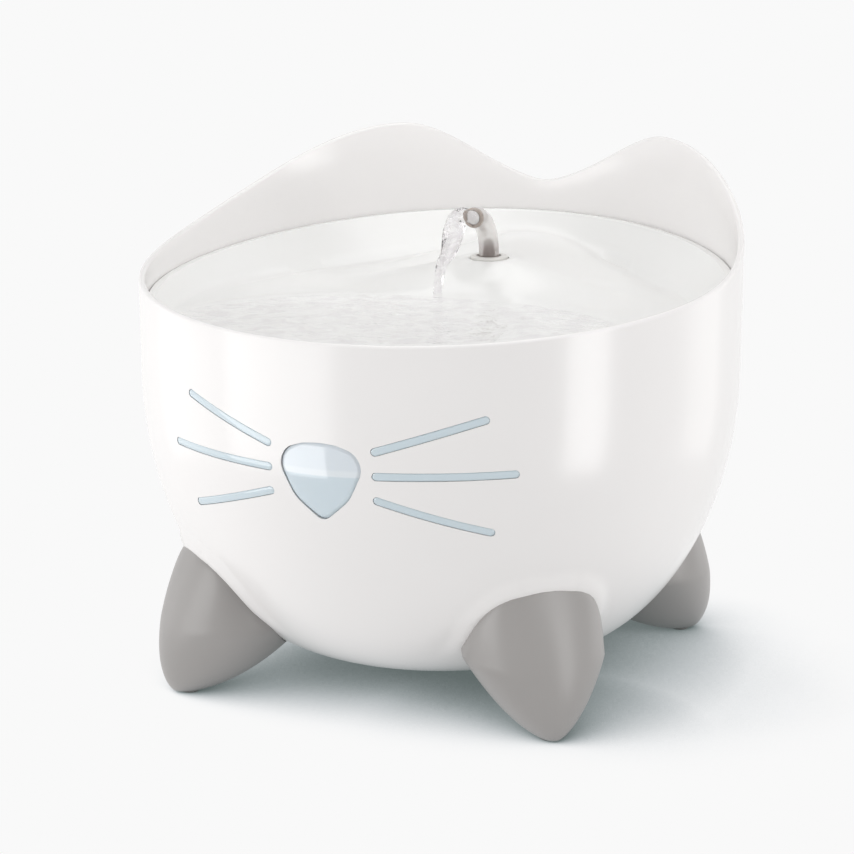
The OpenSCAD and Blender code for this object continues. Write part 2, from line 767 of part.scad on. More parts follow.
module pump_block(w, l, h, r) {
    hull() for (x = [-w + r, w - r]) for (y = [r, l - r])
        translate([x, y, 0]) cylinder(r = r, h = h, $fn = 24);
}
module pump_housing() {
    color("#3C4044")
        difference() {
            union() {
                translate([0, pump_front_y, pump_z]) pump_block(pump_half_w, pump_l, pump_h, 2.5);
                on_spout_axis() translate([0, 0, pump_z + pump_h - 1])
                    cylinder(r = spout_r, h = nozzle_top_z - pump_z - pump_h + 1);
            }
            along_y(pump_front_y - 1, axle_z) cylinder(r = chamber_r, h = chamber_d + 1);
            along_y(pump_front_y, axle_z) cylinder(r = magnet_r + 0.5, h = rotor_back_y - pump_front_y);
            along_y(pump_front_y, axle_z) cylinder(r = shaft_r, h = shaft_back_y - pump_front_y);
            on_spout_axis() translate([0, 0, axle_z]) cylinder(r = spout_r - 1.2, h = far);
        }
}
module pump_cover() {
    color("#45494D")
        difference() {
            union() {
                translate([0, pump_front_y - cover_d, pump_z]) pump_block(pump_half_w, cover_d, pump_h, 1.2);
                along_y(pump_front_y - eps, axle_z) cylinder(r = 2.6, h = 1.4);
            }
            for (x = [-9:3:9]) if (x != 0)
                translate([x - 0.7, pump_front_y - cover_d - 1, pump_z + 5]) cube([1.4, cover_d + 3, 14]);
            along_y(pump_front_y - 1, axle_z) cylinder(r = shaft_r, h = 5);
            along_y(pump_front_y - cover_d - 1, dial_at[1])
                cylinder(r = dial_pin_r + turn_gap, h = cover_d + 3);
        }
}
module flow_dial() {
    color("#5A6066") {
        along_y(pump_front_y - cover_d - 2.6, dial_at[1]) cylinder(r = dial_r, h = 2.3);
        along_y(pump_front_y - cover_d - 1, dial_at[1]) cylinder(r = dial_pin_r, h = cover_d + 0.5);
        translate([-0.7, pump_front_y - cover_d - 4.6, dial_at[1] - dial_r + 0.8])
            cube([1.4, 2.5, 2 * dial_r - 1.6]);
    }
}
module pump_foam() {
    color("#39393B")
        translate([0, pump_front_y - cover_d - foam_t, pump_z + 2])
            pump_block(pump_half_w - 1, foam_t, foam_h, foam_t / 4);
}
module pump_shaft() {
    color("#E8E4DC") along_y(pump_front_y - 1, axle_z)
        cylinder(r = shaft_r, h = shaft_back_y - pump_front_y + 1, $fn = 32);
}
hub_r = 3.4;
blade_w = 1.2;
impeller_y = pump_front_y + 1.8;
impeller_l = chamber_d - 2.6;
module shaft_hole(l) { translate([0, 0, -1]) cylinder(r = shaft_r + turn_gap, h = l + 2, $fn = 32); }
module impeller() {
    color("#F5F5F5")
        along_y(impeller_y, axle_z) difference() {
            union() {
                cylinder(r = hub_r, h = impeller_l);
                translate([0, 0, impeller_l - 1.2]) cylinder(r = magnet_r, h = 1.2);
                for (i = [0:blade_n - 1]) rotate([0, 0, i * 360 / blade_n])
                    translate([0, -blade_w / 2, 0]) cube([chamber_r - 1.5, blade_w, impeller_l - 1]);
            }
            shaft_hole(impeller_l);
        }
}
module impeller_magnet() {
    l = rotor_back_y - 0.5 - impeller_y - impeller_l;
    color("#2B2B2B")
        along_y(impeller_y + impeller_l, axle_z) difference() {
            cylinder(r = magnet_r, h = l);
            shaft_hole(l);
        }
}
module suction_cups() {
    color("#8C8C8C")
        for (x = [-1, 1]) for (y = [cup_inset, pump_l - cup_inset - 3])
            translate([x * (pump_half_w - cup_inset - 0.5), pump_front_y + y, chamber_floor_z])
                rotate_extrude($fn = 32) polygon([
                    [0, 0.35 * cup_h], [0.6 * cup_r, 0.22 * cup_h], [0.96 * cup_r, 0], [cup_r, 0.12 * cup_h],
                    [0.6 * cup_r, 0.55 * cup_h], [cup_neck_r, 0.7 * cup_h], [cup_neck_r, cup_h], [0, cup_h]
                ]);
}

// The lead leaves the pump's top, bends over the housing's edge and drops into its gland.
lead_bend = 7;
lead_from_y = spout_y + 8;
module lead_corner(y, z, start) {
    translate([gland_at[0], y, z]) rotate([90, 0, 90]) rotate([0, 0, start])
        rotate_extrude(angle = 90) translate([lead_bend, 0]) circle(lead_r, $fn = 24);
}
module pump_lead() {
    pump_top_z = pump_z + pump_h;
    rise = lead_run_z - lead_bend - pump_top_z;
    color("#DCDCDA") {
        translate([gland_at[0], lead_from_y, pump_top_z]) cylinder(r = lead_r, h = max(eps, rise), $fn = 24);
        lead_corner(lead_from_y - lead_bend, lead_run_z - lead_bend, 0);
        translate([gland_at[0], lead_from_y - lead_bend, lead_run_z]) rotate([90, 0, 0])
            cylinder(r = lead_r, h = lead_from_y - gland_at[1] - 2 * lead_bend, $fn = 24);
        lead_corner(gland_at[1] + lead_bend, lead_run_z - lead_bend, 90);
        translate([gland_at[0], gland_at[1], floor_z - wall - 2])
            cylinder(r = lead_r, h = lead_run_z - lead_bend - floor_z + wall + 2, $fn = 24);
    }
}
module pump_gland() {
    color("#6E6E6E")
        translate([gland_at[0], gland_at[1], floor_z - wall]) difference() {
            union() {
                cylinder(r = gland_hole_r, h = wall + 1);
                translate([0, 0, wall]) cylinder(r1 = gland_r, r2 = gland_r - 1.2, h = 3);
            }
            translate([0, 0, -1]) cylinder(r = lead_r, h = wall + 6, $fn = 24);
        }
}

// ---- Dry bay ----
seal_w = 1.8;
seal_t = 1.8;
cover_gap = 0.15;
cord_z = base_z - 4.4;
gland_block = [8, 15];
gland_out_r = 3.4;
gland_wall = 1.2;
gland_setback = 4;
gland_head = [3.5, 0.8];

module control_board() {
    color("#2E7D5B") translate([0, 0, board_z]) cylinder(r = board_r, h = board_t);
    color("#333333") for (c = [[-14, -8, 9, 9], [8, -14, 12, 7], [-6, 12, 7, 6]])
        translate([c[0], c[1], board_z - 1.6]) cube([c[2], c[3], 1.6 + eps]);
}
module base_seal() {
    color("#7A7A7A")
        translate([0, 0, base_z + cover_t]) difference() {
            cylinder(r = bay_r - cover_gap, h = seal_t);
            translate([0, 0, -1]) cylinder(r = bay_r - cover_gap - seal_w, h = seal_t + 2);
        }
}
module base_cover() {
    block_y = bay_r - gland_setback - gland_block[1];
    color("#DEDBD8")
        difference() {
            union() {
                translate([0, 0, base_z]) cylinder(r = bay_r - cover_gap, h = cover_t);
                translate([-gland_block[0], block_y, cord_z - gland_out_r - gland_wall])
                    cube([2 * gland_block[0], gland_block[1],
                        base_z + cover_t / 2 - cord_z + gland_out_r + gland_wall]);
            }
            at_screws() translate([0, 0, base_z - 1]) cylinder(r = screw_r + 0.2, h = cover_t + 2, $fn = 24);
            at_screws() translate([0, 0, base_z - 1]) cylinder(r = screw_r + 1.2, h = 2, $fn = 24);
            along_y(block_y + 2, cord_z) cylinder(r = gland_out_r, h = gland_block[1]);
            // way up for the cord into the bay
            translate([0, block_y + 2 + gland_out_r, cord_z]) cylinder(r = gland_out_r, h = far);
        }
}
module base_screws() {
    color("#B8B8B8")
        at_screws() translate([0, 0, base_z + 0.1]) {
            cylinder(r = screw_r - 0.03, h = screw_len - 1, $fn = 24);
            cylinder(r = screw_r + 1, h = 0.9, $fn = 24);
        }
}
module cable_gland() {
    back_y = bay_r - gland_setback;
    color("#6E6E6E")
        difference() {
            union() {
                along_y(back_y - 6, cord_z) cylinder(r = gland_out_r, h = 7);
                along_y(back_y, cord_z)
                    cylinder(r1 = gland_out_r + gland_head[1], r2 = gland_out_r, h = gland_head[0]);
            }
            along_y(back_y - 7, cord_z) cylinder(r = cord_r, h = 14);
        }
}

body_shell();
foot_front_left();
foot_front_right();
foot_rear_left();
foot_rear_right();
foot_pads();
nose_window();
whisker_windows_left();
whisker_windows_right();
light_guide();
light_board();
leds();
light_housing();
drinking_tray();
spout_collar();
spout();
riser_tube();
filter_housing();
filter_cover();
filter_frame();
filter_pad();
pump_housing();
pump_cover();
pump_foam();
pump_shaft();
impeller();
impeller_magnet();
flow_dial();
suction_cups();
pump_lead();
pump_gland();
control_board();
base_seal();
base_cover();
base_screws();
cable_gland();
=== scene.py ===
# %% [markdown]
# # A drinking fountain for cats
#
# A round bowl on four ear-shaped feet, with a lift-off tray, a bent spout and a small pump inside. This lesson
# dresses the solid model: the moulded bowl, tray, feet, windows and spout are drawn again with finer curves, the
# water is added, and every solid that stays gets a real finish. Each shape is drawn in millimetres and scaled to
# metres when it is finished.

# %% Load the solid model
import math
import bpy
import bmesh
from mathutils import Matrix, Vector


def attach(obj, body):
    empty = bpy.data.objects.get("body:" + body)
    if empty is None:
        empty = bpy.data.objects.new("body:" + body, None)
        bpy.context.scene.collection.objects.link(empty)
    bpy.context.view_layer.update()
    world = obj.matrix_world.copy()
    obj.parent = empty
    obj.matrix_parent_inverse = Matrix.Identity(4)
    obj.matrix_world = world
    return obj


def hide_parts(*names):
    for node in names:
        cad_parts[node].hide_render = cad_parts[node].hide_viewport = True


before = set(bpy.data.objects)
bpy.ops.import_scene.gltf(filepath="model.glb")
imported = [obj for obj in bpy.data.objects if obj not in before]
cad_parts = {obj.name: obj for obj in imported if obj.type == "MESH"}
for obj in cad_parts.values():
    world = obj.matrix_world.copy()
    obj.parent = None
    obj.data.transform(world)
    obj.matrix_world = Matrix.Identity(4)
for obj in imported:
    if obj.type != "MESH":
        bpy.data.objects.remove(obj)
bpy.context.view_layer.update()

scene = bpy.context.scene

# %% [markdown]
# ## Camera
#
# The picture is taken from a little above the rim and from the right of the nose, with a long lens, so the bowl's
# sides stay nearly parallel. The camera could be placed by eye. Here its two angles and its distance place it, so
# that the view can be repeated.

# %% Camera
TURN, TILT = math.radians(22.10), math.radians(13.62)
# The point that the camera looks at and its distance from it, in metres.
AIM, DISTANCE = Vector((0, 0, 0.095)), 1.22985
# The focal length, the picture's side and the place where the line of sight meets the picture, all in pixels.
FOCUS, FRAME_PX, CENTRE_X, CENTRE_Y = 3042.3, 854, 440.92, 432.11
SENSOR_MM = 36
towards = Vector((math.sin(TURN) * math.cos(TILT), -math.cos(TURN) * math.cos(TILT), math.sin(TILT)))
lens = bpy.data.cameras.new("camera")
camera = bpy.data.objects.new("camera", lens)
scene.collection.objects.link(camera)
camera.location = AIM + towards * DISTANCE
camera.rotation_mode = "QUATERNION"
camera.rotation_quaternion = (-towards).to_track_quat("-Z", "Y")
lens.sensor_width = SENSOR_MM
lens.lens = SENSOR_MM * FOCUS / FRAME_PX
lens.shift_x = -(CENTRE_X - FRAME_PX / 2) / FRAME_PX
lens.shift_y = (CENTRE_Y - FRAME_PX / 2) / FRAME_PX
scene.camera = camera
print("lens", round(lens.lens, 1), "mm")

# %% [markdown]
# ## Finishes
#
# A finish is a small graph of nodes. One function adds a node with its settings and its inputs: an input that is
# given a socket is linked, and any other input is set. What comes back in most finishes is a short function on top
# of it. Colours are written as hex values, and one function turns them to linear light.

# %% Helpers for finishes
def colour(code):
    """A colour like #F2F0EE as linear light."""
    parts = [int(code[i:i + 2], 16) / 255 for i in (1, 3, 5)]
    return tuple(p / 12.92 if p <= 0.04045 else ((p + 0.055) / 1.055) ** 2.4 for p in parts) + (1.0,)


def feed(tree, node, inputs):
    """Link each input that is given a socket, and set the others. Inputs are named or numbered."""
    for key, value in inputs.items():
        if isinstance(value, bpy.types.NodeSocket):
            tree.links.new(value, node.inputs[key])
        else:
            node.inputs[key].default_value = value


def add_node(tree, kind, inputs=None, **settings):
    """Add one node with its settings and its inputs."""
    node = tree.nodes.new(kind)
    for key, value in settings.items():
        setattr(node, key, value)
    feed(tree, node, inputs or {})
    return node


finishes = {}


def new_finish(name):
    """A new material's tree and shader, and the place on the object in metres."""
    finish = finishes[name] = bpy.data.materials.new(name)
    finish.use_nodes = True
    tree = finish.node_tree
    tree.nodes.clear()
    place = add_node(tree, "ShaderNodeTexCoord").outputs["Object"]
    shader = add_node(tree, "ShaderNodeBsdfPrincipled")
    add_node(tree, "ShaderNodeOutputMaterial", {"Surface": shader.outputs[0]})
    return tree, place, shader


def per_mm(size):
    """The scale of a pattern whose marks are this many millimetres apart."""
    return 1000.0 / size


def noise(tree, place, size_mm, detail=2.0, distortion=0.0):
    """A cloudy pattern from 0 to 1."""
    return add_node(tree, "ShaderNodeTexNoise", {"Vector": place, "Scale": per_mm(size_mm), "Detail": detail,
                                                 "Distortion": distortion}).outputs["Fac"]


def blend(tree, share, first, second):
    """A colour that runs from the first to the second as the share goes from 0 to 1."""
    return add_node(tree, "ShaderNodeMix", {"Factor": share, "A": first, "B": second},
                    data_type="RGBA").outputs["Result"]


def spread(tree, value, low, high):
    """A value that goes from 0 to 1, spread over another range."""
    return add_node(tree, "ShaderNodeMapRange", {"Value": value, "To Min": low, "To Max": high}).outputs[0]


def relief(tree, height, depth, **more):
    """The face's direction where a pattern presses it in, to a depth in metres."""
    return add_node(tree, "ShaderNodeBump", {"Height": height, "Distance": depth, **more}).outputs[0]


# %% [markdown]
# ### Moulded plastics
#
# Most of the fountain is injection moulded. A moulded part copies its steel mould: polished steel gives a gloss with
# a very slight waviness, and spark-eroded steel gives a fine grain. The gloss is one roughness value, the waviness is
# a soft noise a few millimetres across, and the grain is a fine noise of a few tenths of a millimetre. A cloudy
# change of colour of one or two per cent keeps large faces from looking flat.

# %% Moulded plastic
WATER_IOR = 1.333


def moulded_plastic(name, light, dark, gloss, grain_mm, grain_depth, wave_mm=9.0, wave_depth=20e-6, cloud_mm=45.0,
                    clear=0.0, ior=1.53, through=0.0, coat=0.0):
    tree, place, shader = new_finish(name)
    clouds = noise(tree, place, cloud_mm, 3.0)
    wavy = relief(tree, noise(tree, place, wave_mm, 1.0), wave_depth)
    grainy = relief(tree, noise(tree, place, grain_mm), grain_depth, Strength=0.6, Normal=wavy)
    feed(tree, shader, {
        "Base Color": blend(tree, clouds, colour(light), colour(dark)), "Normal": grainy,
        "Roughness": spread(tree, clouds, gloss * 0.9, gloss * 1.1), "IOR": ior, "Transmission Weight": clear,
        "Subsurface Weight": through, "Subsurface Radius": (1.0, 0.95, 0.9), "Subsurface Scale": 0.002,
        "Coat Weight": coat, "Coat Roughness": 0.08})


# White ABS from a polished mould: bright and glossy, with broad soft reflections.
moulded_plastic("glossy_white_abs", "#F4F2F1", "#F1EFEE", 0.2, 0.4, 2e-6)
# White polypropylene, food safe, a little cooler and waxier than the bowl.
moulded_plastic("white_polypropylene", "#F4F4F3", "#F0F0EE", 0.2, 0.5, 3e-6)
# Grey ABS from a finely eroded mould: the highlights run out softly.
moulded_plastic("satin_grey_abs", "#A4A19F", "#9E9B99", 0.36, 0.35, 6e-6)
# Light grey polypropylene of the ring round the spout.
moulded_plastic("grey_polypropylene", "#E4E2DF", "#DDDBD7", 0.24, 0.4, 3e-6)
# Natural polypropylene of the unseen pieces, matt from an eroded mould.
moulded_plastic("matt_polypropylene", "#E6E6E3", "#DDDDD9", 0.5, 0.3, 10e-6)
# Black ABS of the pump.
moulded_plastic("black_abs", "#33363A", "#2A2C30", 0.42, 0.3, 10e-6)
# White acetal of the impeller, slippery and slightly waxy.
moulded_plastic("white_acetal", "#F2F1EC", "#EAE9E3", 0.32, 0.4, 4e-6)
# Grey rubber of the foot pads, a little darker than the feet.
moulded_plastic("grey_rubber", "#8E8B89", "#858280", 0.6, 0.3, 10e-6, ior=1.5)
# Soft dark silicone of the seals and suction cups.
moulded_plastic("dark_silicone", "#3B3B3B", "#323232", 0.62, 0.3, 12e-6, ior=1.41)
# Grey silicone of the glands.
moulded_plastic("grey_silicone", "#7C7B79", "#706F6D", 0.55, 0.3, 10e-6, ior=1.41)
# The pump lead's jacket of plasticised PVC.
moulded_plastic("lead_pvc", "#D8D8D5", "#CECECA", 0.45, 0.4, 6e-6)
# Water full of fine bubbles where it leaves the mouth: white and wet.
moulded_plastic("aerated_water", "#F7F5F4", "#F0EEEC", 0.08, 1.2, 50e-6, wave_mm=3.0, wave_depth=0.0003,
                clear=0.25, ior=WATER_IOR, through=0.4)
# Sintered ferrite of the rotor's magnet.
moulded_plastic("ferrite", "#35353A", "#26262A", 0.4, 0.25, 10e-6, ior=2.2)
# Ground alumina of the pump's shaft.
moulded_plastic("alumina", "#EDE8DC", "#E5DFD1", 0.22, 0.3, 2e-6, ior=1.76)
print("plastics:", len(finishes))

# %% [markdown]
# ### Clear and coloured windows
#
# The nose and the whiskers are windows for the light behind them, moulded in pale blue polycarbonate with a milky
# filler. They pass light but nothing behind them can be made out, and their polished face mirrors the room. A part
# of the light goes through, which is the transmission weight, and the rest is scattered just under the face.

# %% Windows
def shade_along(name, axis, start, end, tint):
    """Paint a band of light or shade into a finish's colour: run it over to a tint between two places, in
    millimetres, along X, Y or Z.
    """
    tree = finishes[name].node_tree
    place = next(n for n in tree.nodes if n.type == "TEX_COORD").outputs["Object"]
    base = next(n for n in tree.nodes if n.type == "BSDF_PRINCIPLED").inputs["Base Color"]
    parts = add_node(tree, "ShaderNodeSeparateXYZ", {"Vector": place})
    share = add_node(tree, "ShaderNodeMapRange", {"Value": parts.outputs[axis], "From Min": start / 1000,
                                                  "From Max": end / 1000}, interpolation_type="SMOOTHSTEP")
    tree.links.new(blend(tree, share.outputs[0], base.links[0].from_socket, colour(tint)), base)


WINDOW = {"gloss": 0.1, "grain_mm": 0.5, "grain_depth": 1e-6, "wave_mm": 14.0, "cloud_mm": 30.0, "clear": 0.1,
          "ior": 1.585, "through": 0.3, "coat": 0.5}
moulded_plastic("milky_blue_polycarbonate", "#DAE7EE", "#D2E2EA", **WINDOW)
# The nose is the same plastic, with a painted highlight that stands in for a reflection: above a line across the
# window the colour is paler, palest in a band just above the line.
moulded_plastic("nose_polycarbonate_painted_highlight", "#DCE9F0", "#D8E5ED", **WINDOW)
shade_along("nose_polycarbonate_painted_highlight", "Z", 104.9, 105.7, "#EDF4FA")
shade_along("nose_polycarbonate_painted_highlight", "Z", 107.0, 108.4, "#E6EEF5")
# Smoke-tinted copolyester of the spout: clear, a little warm, polished inside and out.
moulded_plastic("smoky_copolyester", "#E9E5E2", "#E3DFDC", 0.07, 0.5, 1e-6, wave_mm=6.0, cloud_mm=20.0,
                clear=0.3, ior=1.57, through=0.4)
# Painted shade darkens its colour towards the ring, where little light comes through from behind. Towards its cut
# mouth the colour is also darker and browner.
shade_along("smoky_copolyester", "Z", 170.5, 159.5, "#9C918D")
shade_along("smoky_copolyester", "Y", 37.2, 35.6, "#B9ADA4")
# Frosted acrylic of the light guide.
moulded_plastic("frosted_acrylic", "#F2F7F8", "#E8F0F2", 0.45, 0.3, 20e-6, clear=0.5, ior=1.49)
# Translucent silicone of the riser.
moulded_plastic("translucent_silicone", "#EFEDE9", "#E6E4DF", 0.35, 0.4, 6e-6, clear=0.35, ior=1.41,
                through=0.3)
print("plastics and windows:", len(finishes))

# %% [markdown]
# ### Other finishes
#
# The filter pad is needle-punched felt, the pre-filter is open foam, the boards are glass fibre under solder mask,
# the lamps are clear epoxy and the screws are zinc plated. Each has one pattern at its true size.

# %% Felt, foam, board, lamps and screws
def fibrous(name, light, dark, fibre_mm, depth, sheen):
    tree, place, shader = new_finish(name)
    fibres = noise(tree, place, fibre_mm, 6.0, 2.0)
    cells = add_node(tree, "ShaderNodeTexVoronoi", {"Vector": place, "Scale": per_mm(fibre_mm * 1.6)})
    height = add_node(tree, "ShaderNodeMath", {0: fibres, 1: cells.outputs["Distance"]}, operation="ADD")
    feed(tree, shader, {
        "Base Color": blend(tree, fibres, colour(dark), colour(light)), "Roughness": 0.9, "Sheen Weight": sheen,
        "Normal": relief(tree, height.outputs[0], depth)})


# Polyester felt with carbon: pale blue grey, fibres of a few tenths of a millimetre.
fibrous("carbon_felt", "#A9BCC3", "#7E939B", 0.7, 0.0004, 0.3)
# Reticulated polyurethane foam, cells of about a millimetre.
fibrous("open_foam", "#3A3A3D", "#141416", 1.1, 0.0008, 0.1)


def solder_mask():
    tree, place, shader = new_finish("solder_mask")
    weave = add_node(tree, "ShaderNodeTexWave", {"Vector": place, "Scale": per_mm(4.0), "Distortion": 1.0},
                     wave_type="BANDS", bands_direction="DIAGONAL").outputs["Fac"]
    feed(tree, shader, {"Base Color": blend(tree, weave, colour("#1F6B49"), colour("#297A55")), "Roughness": 0.3,
                        "Normal": relief(tree, weave, 30e-6)})


def zinc_plate():
    tree, place, shader = new_finish("zinc_plate")
    spangle = noise(tree, place, 0.8, 4.0)
    feed(tree, shader, {"Base Color": blend(tree, spangle, colour("#B9BBBD"), colour("#D3D4D6")), "Metallic": 1.0,
                        "Roughness": spread(tree, spangle, 0.25, 0.45)})


solder_mask()
zinc_plate()
# Clear epoxy of the lamps over their pale phosphor.
moulded_plastic("lamp_epoxy", "#FFF4CE", "#FFEDB6", 0.12, 0.3, 1e-6, clear=0.2, ior=1.54)
print("finishes:", len(finishes))

# %% [markdown]
# ### Water
#
# Clean water has no colour of its own at this depth. What the eye reads is its mirror of the room, the bent view of
# the tray below and the small waves. The waves that matter are in the mesh; the finish adds the finest ones, and
# the pale net of light that they throw is painted into its colour.

# %% Water finish
def clean_water(name, trough, crest, ripple_mm, depth):
    """Painted light: the colour is paler where the ripple pattern rises, standing in for the light that the ripples
    gather.
    """
    tree, place, shader = new_finish(name)
    ripples = noise(tree, place, ripple_mm, distortion=0.9)
    # Painted light: the share of the paler colour of the net of light.
    painted_caustic = add_node(tree, "ShaderNodeMapRange", {"Value": ripples, "From Min": 0.38, "From Max": 0.56})
    feed(tree, shader, {
        "Base Color": blend(tree, painted_caustic.outputs[0], colour(trough), colour(crest)), "Roughness": 0.02,
        "Normal": relief(tree, ripples, depth), "IOR": WATER_IOR, "Transmission Weight": 1.0})


clean_water("pool_water", "#EDEAED", "#FEFEFE", 8.0, 0.0014)
clean_water("falling_water", "#ECE9EC", "#F8F7F8", 3.0, 0.0006)
print("water ready")

# %% [markdown]
# ## The sizes that every piece shares
#
# The bowl's wall is a quarter ellipse from the flat underside to the shoulder and nearly upright above it. The rim
# and the two ears are one smooth line round it, and the tray's surface is one formula of place. All other pieces sit
# on these, so they are written once, in millimetres.

# %% Bowl and tray formulas
WALL = 2.6
BOWL_R, BASE_R, BASE_Z, SHOULDER_Z, LEAN = 119.8, 45.6, 11.2, 125.0, 0.8
RIM_FRONT_Z, RIM_RISE, EAR_H, EAR_ANGLE, EAR_IN, EAR_OUT, VALLEY = 155.5, 20.0, 30.5, 30.8, 21.6, 36.0, 2.5
FLOOR_Z, BAY_R = 24.5, BASE_R - WALL
# The drawn rim lies this much under the formula, so that its fine curve stays inside the solid's box.
RIM_EASE = 0.08
CURVE_A, CURVE_B = BOWL_R - BASE_R, SHOULDER_Z - BASE_Z
PEAK_Z = RIM_FRONT_Z + RIM_RISE + EAR_H


def wall_radius(z):
    return BOWL_R + LEAN * (z - SHOULDER_Z) / (PEAK_Z - SHOULDER_Z)


def bowl_radius(z):
    if z > SHOULDER_Z:
        return wall_radius(z)
    return BASE_R + CURVE_A * math.sqrt(max(0.0, 1 - ((SHOULDER_Z - z) / CURVE_B) ** 2))


def curve_point(turn, depth):
    """A point of the curved wall, as radius and height, at a depth below its outside."""
    s, c = math.sin(turn), math.cos(turn)
    normal = Vector((s / CURVE_A, -c / CURVE_B)).normalized()
    return Vector((BASE_R + CURVE_A * s, SHOULDER_Z - CURVE_B * c)) - depth * normal


def rim_height(angle):
    """Height of the rim, with its two ears, at an angle from the back in degrees."""
    a = math.hypot(angle, VALLEY)
    ear = math.exp(-((a - EAR_ANGLE) / (EAR_IN if a < EAR_ANGLE else EAR_OUT)) ** 2)
    return RIM_FRONT_Z - RIM_EASE + RIM_RISE * (1 + math.cos(math.radians(angle))) / 2 + EAR_H * ear


TRAY_Z, TRAY_TILT, TRAY_SWEEP, TRAY_GAP, FLANGE, RING_SLOPE, TRAY_T = 155.0, 0.078, 0.00028, 0.35, 3.2, 1.3, 2.5
SHELF_Z, POOL_D, POOL_W, POOL_L, POOL_FRONT = 145.0, 11.0, 98.0, 80.0, 48.0
HILL_H, HILL_W, BLEND = 15.0, 30.0, 1.8
SPOUT_Y = 53.0
# The share of the hill's height that its steep front side and its gentle back have.
HILL_FRONT, HILL_BACK = 0.86, 0.14
TRAY_R = wall_radius(TRAY_Z) - WALL - TRAY_GAP
SEAT_GAP = 0.3


def tray_rim(y):
    """Height of the tray's edge, which sweeps up to the back."""
    return TRAY_Z + TRAY_TILT * y + TRAY_SWEEP * y * y


def smooth_step(u):
    """From 0 to 1 without a corner at either end."""
    u = min(1.0, max(0.0, u))
    return u * u * (3 - 2 * u)


def tray_floor(x, y):
    """The shelf with its hill and its pool."""
    hill = HILL_H * math.exp(-x * x / (2 * HILL_W ** 2)) * (
        HILL_FRONT * smooth_step((y - SPOUT_Y + 29) / 32) + HILL_BACK * smooth_step((y - SPOUT_Y) / 50))
    pool = POOL_D * max(0.0, 1 - (x / POOL_W) ** 2 - ((y + POOL_FRONT) / POOL_L) ** 2) ** 0.8
    return SHELF_Z + hill - pool


def tray_top(x, y):
    """The tray's surface: the ring, the step down and the floor, run together."""
    r = math.hypot(x, y)
    rim = tray_rim(TRAY_R * (y / r if r > 1e-6 else 1.0))
    inward = TRAY_R - FLANGE - r
    if inward <= 0:
        return rim
    a, b = rim - RING_SLOPE * inward, tray_floor(x, y)
    return min(rim, (a + b + math.sqrt((a - b) ** 2 + BLEND * BLEND)) / 2)


# The foot's height, its tip's distance from the axis and how far its outside bulges out, half its width, the pad
# below it, its gap to the bowl and how far its top edge stands out from the bowl.
FOOT_H, TIP_R, BULGE, BULGE_Z, HALF_W, PAD_T, FOOT_GAP, FOOT_LIP = 57.5, 113.0, 7.4, 15.5, 26.2, 1.0, 0.1, 2.2
FRONT_ANGLE, REAR_ANGLE = 44.2, 46.4
FOOT_TURNS = {"front_left": -FRONT_ANGLE, "front_right": FRONT_ANGLE, "rear_right": 180 - REAR_ANGLE,
              "rear_left": REAR_ANGLE - 180}


def foot_width(z):
    """Half the foot's width at a height: it opens up from the tip and closes at the top in a blunt arch."""
    full = 0.5 * FOOT_H
    end = max(0.0, (z - full) / (1.005 * FOOT_H - full))
    return HALF_W * (min(z, full) / full) ** 0.56 * (1 - end ** 3) ** (1 / 3)


print("ear tips at", round(rim_height(EAR_ANGLE), 1), "mm, tray radius", round(TRAY_R, 2), "mm")

# %% [markdown]
# ## Helpers for shapes
#
# Three ways of making a piece come back. An outline is spun round an axis. A ball of rows and columns is sent to
# new places, which makes any closed skin. A flat outline gets a depth. A finished mesh is closed, turned outwards,
# scaled to metres and hung on its body, and a hole is cut with another shape at the very end.

# %% Shape helpers
SHARP = 35.0


def spun(outline, steps, centre=(0, 0, 0)):
    """Spin a closed outline of (radius, height) points once round an upright axis."""
    shape = bmesh.new()
    points = [shape.verts.new((centre[0] + r, centre[1], z)) for r, z in outline]
    lines = [shape.edges.new(pair) for pair in zip(points, points[1:] + points[:1])]
    bmesh.ops.spin(shape, geom=points + lines, cent=centre, axis=(0, 0, 1), angle=math.tau, steps=steps,
                   use_merge=True)
    return shape


def sent_ball(columns, rows, place):
    """A ball whose rows and columns go to place(row from 0 to 1, angle)."""
    shape = bmesh.new()
    bmesh.ops.create_uvsphere(shape, u_segments=columns, v_segments=rows, radius=1)
    for vert in shape.verts:
        row = round(math.acos(max(-1.0, min(1.0, vert.co.z))) / math.pi * rows) / rows
        vert.co = place(row, math.atan2(vert.co.y, vert.co.x))
    return shape


def new_verts(grown):
    """The points among what an extrusion made."""
    return [g for g in grown["geom"] if isinstance(g, bmesh.types.BMVert)]


def thicken(shape, depth):
    """Give the faces of a flat outline a depth, along Y."""
    grown = bmesh.ops.extrude_face_region(shape, geom=list(shape.faces))
    bmesh.ops.translate(shape, verts=new_verts(grown), vec=(0, depth, 0))


def finish_shape(name, shape, finish, sharp=SHARP):
    """Close the mesh, turn it outwards, bring it to metres and give it the finish of this name."""
    bmesh.ops.remove_doubles(shape, verts=shape.verts, dist=0.002)
    bmesh.ops.dissolve_degenerate(shape, edges=shape.edges, dist=0.0005)
    bmesh.ops.recalc_face_normals(shape, faces=shape.faces)
    bmesh.ops.scale(shape, vec=(0.001, 0.001, 0.001), verts=shape.verts)
    mesh = bpy.data.meshes.new(name)
    shape.to_mesh(mesh)
    shape.free()
    mesh.materials.append(finishes[finish])
    mesh.shade_smooth()
    mesh.set_sharp_from_angle(angle=math.radians(sharp))
    piece = bpy.data.objects.new(name, mesh)
    scene.collection.objects.link(piece)
    return piece


def hang(piece, body, slot, *nodes):
    """Make the piece move with its body and stand for the solids that it replaces."""
    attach(piece, body)
    if nodes:
        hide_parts(*nodes)
    print(piece.name, "on", body, len(piece.data.polygons), "faces")


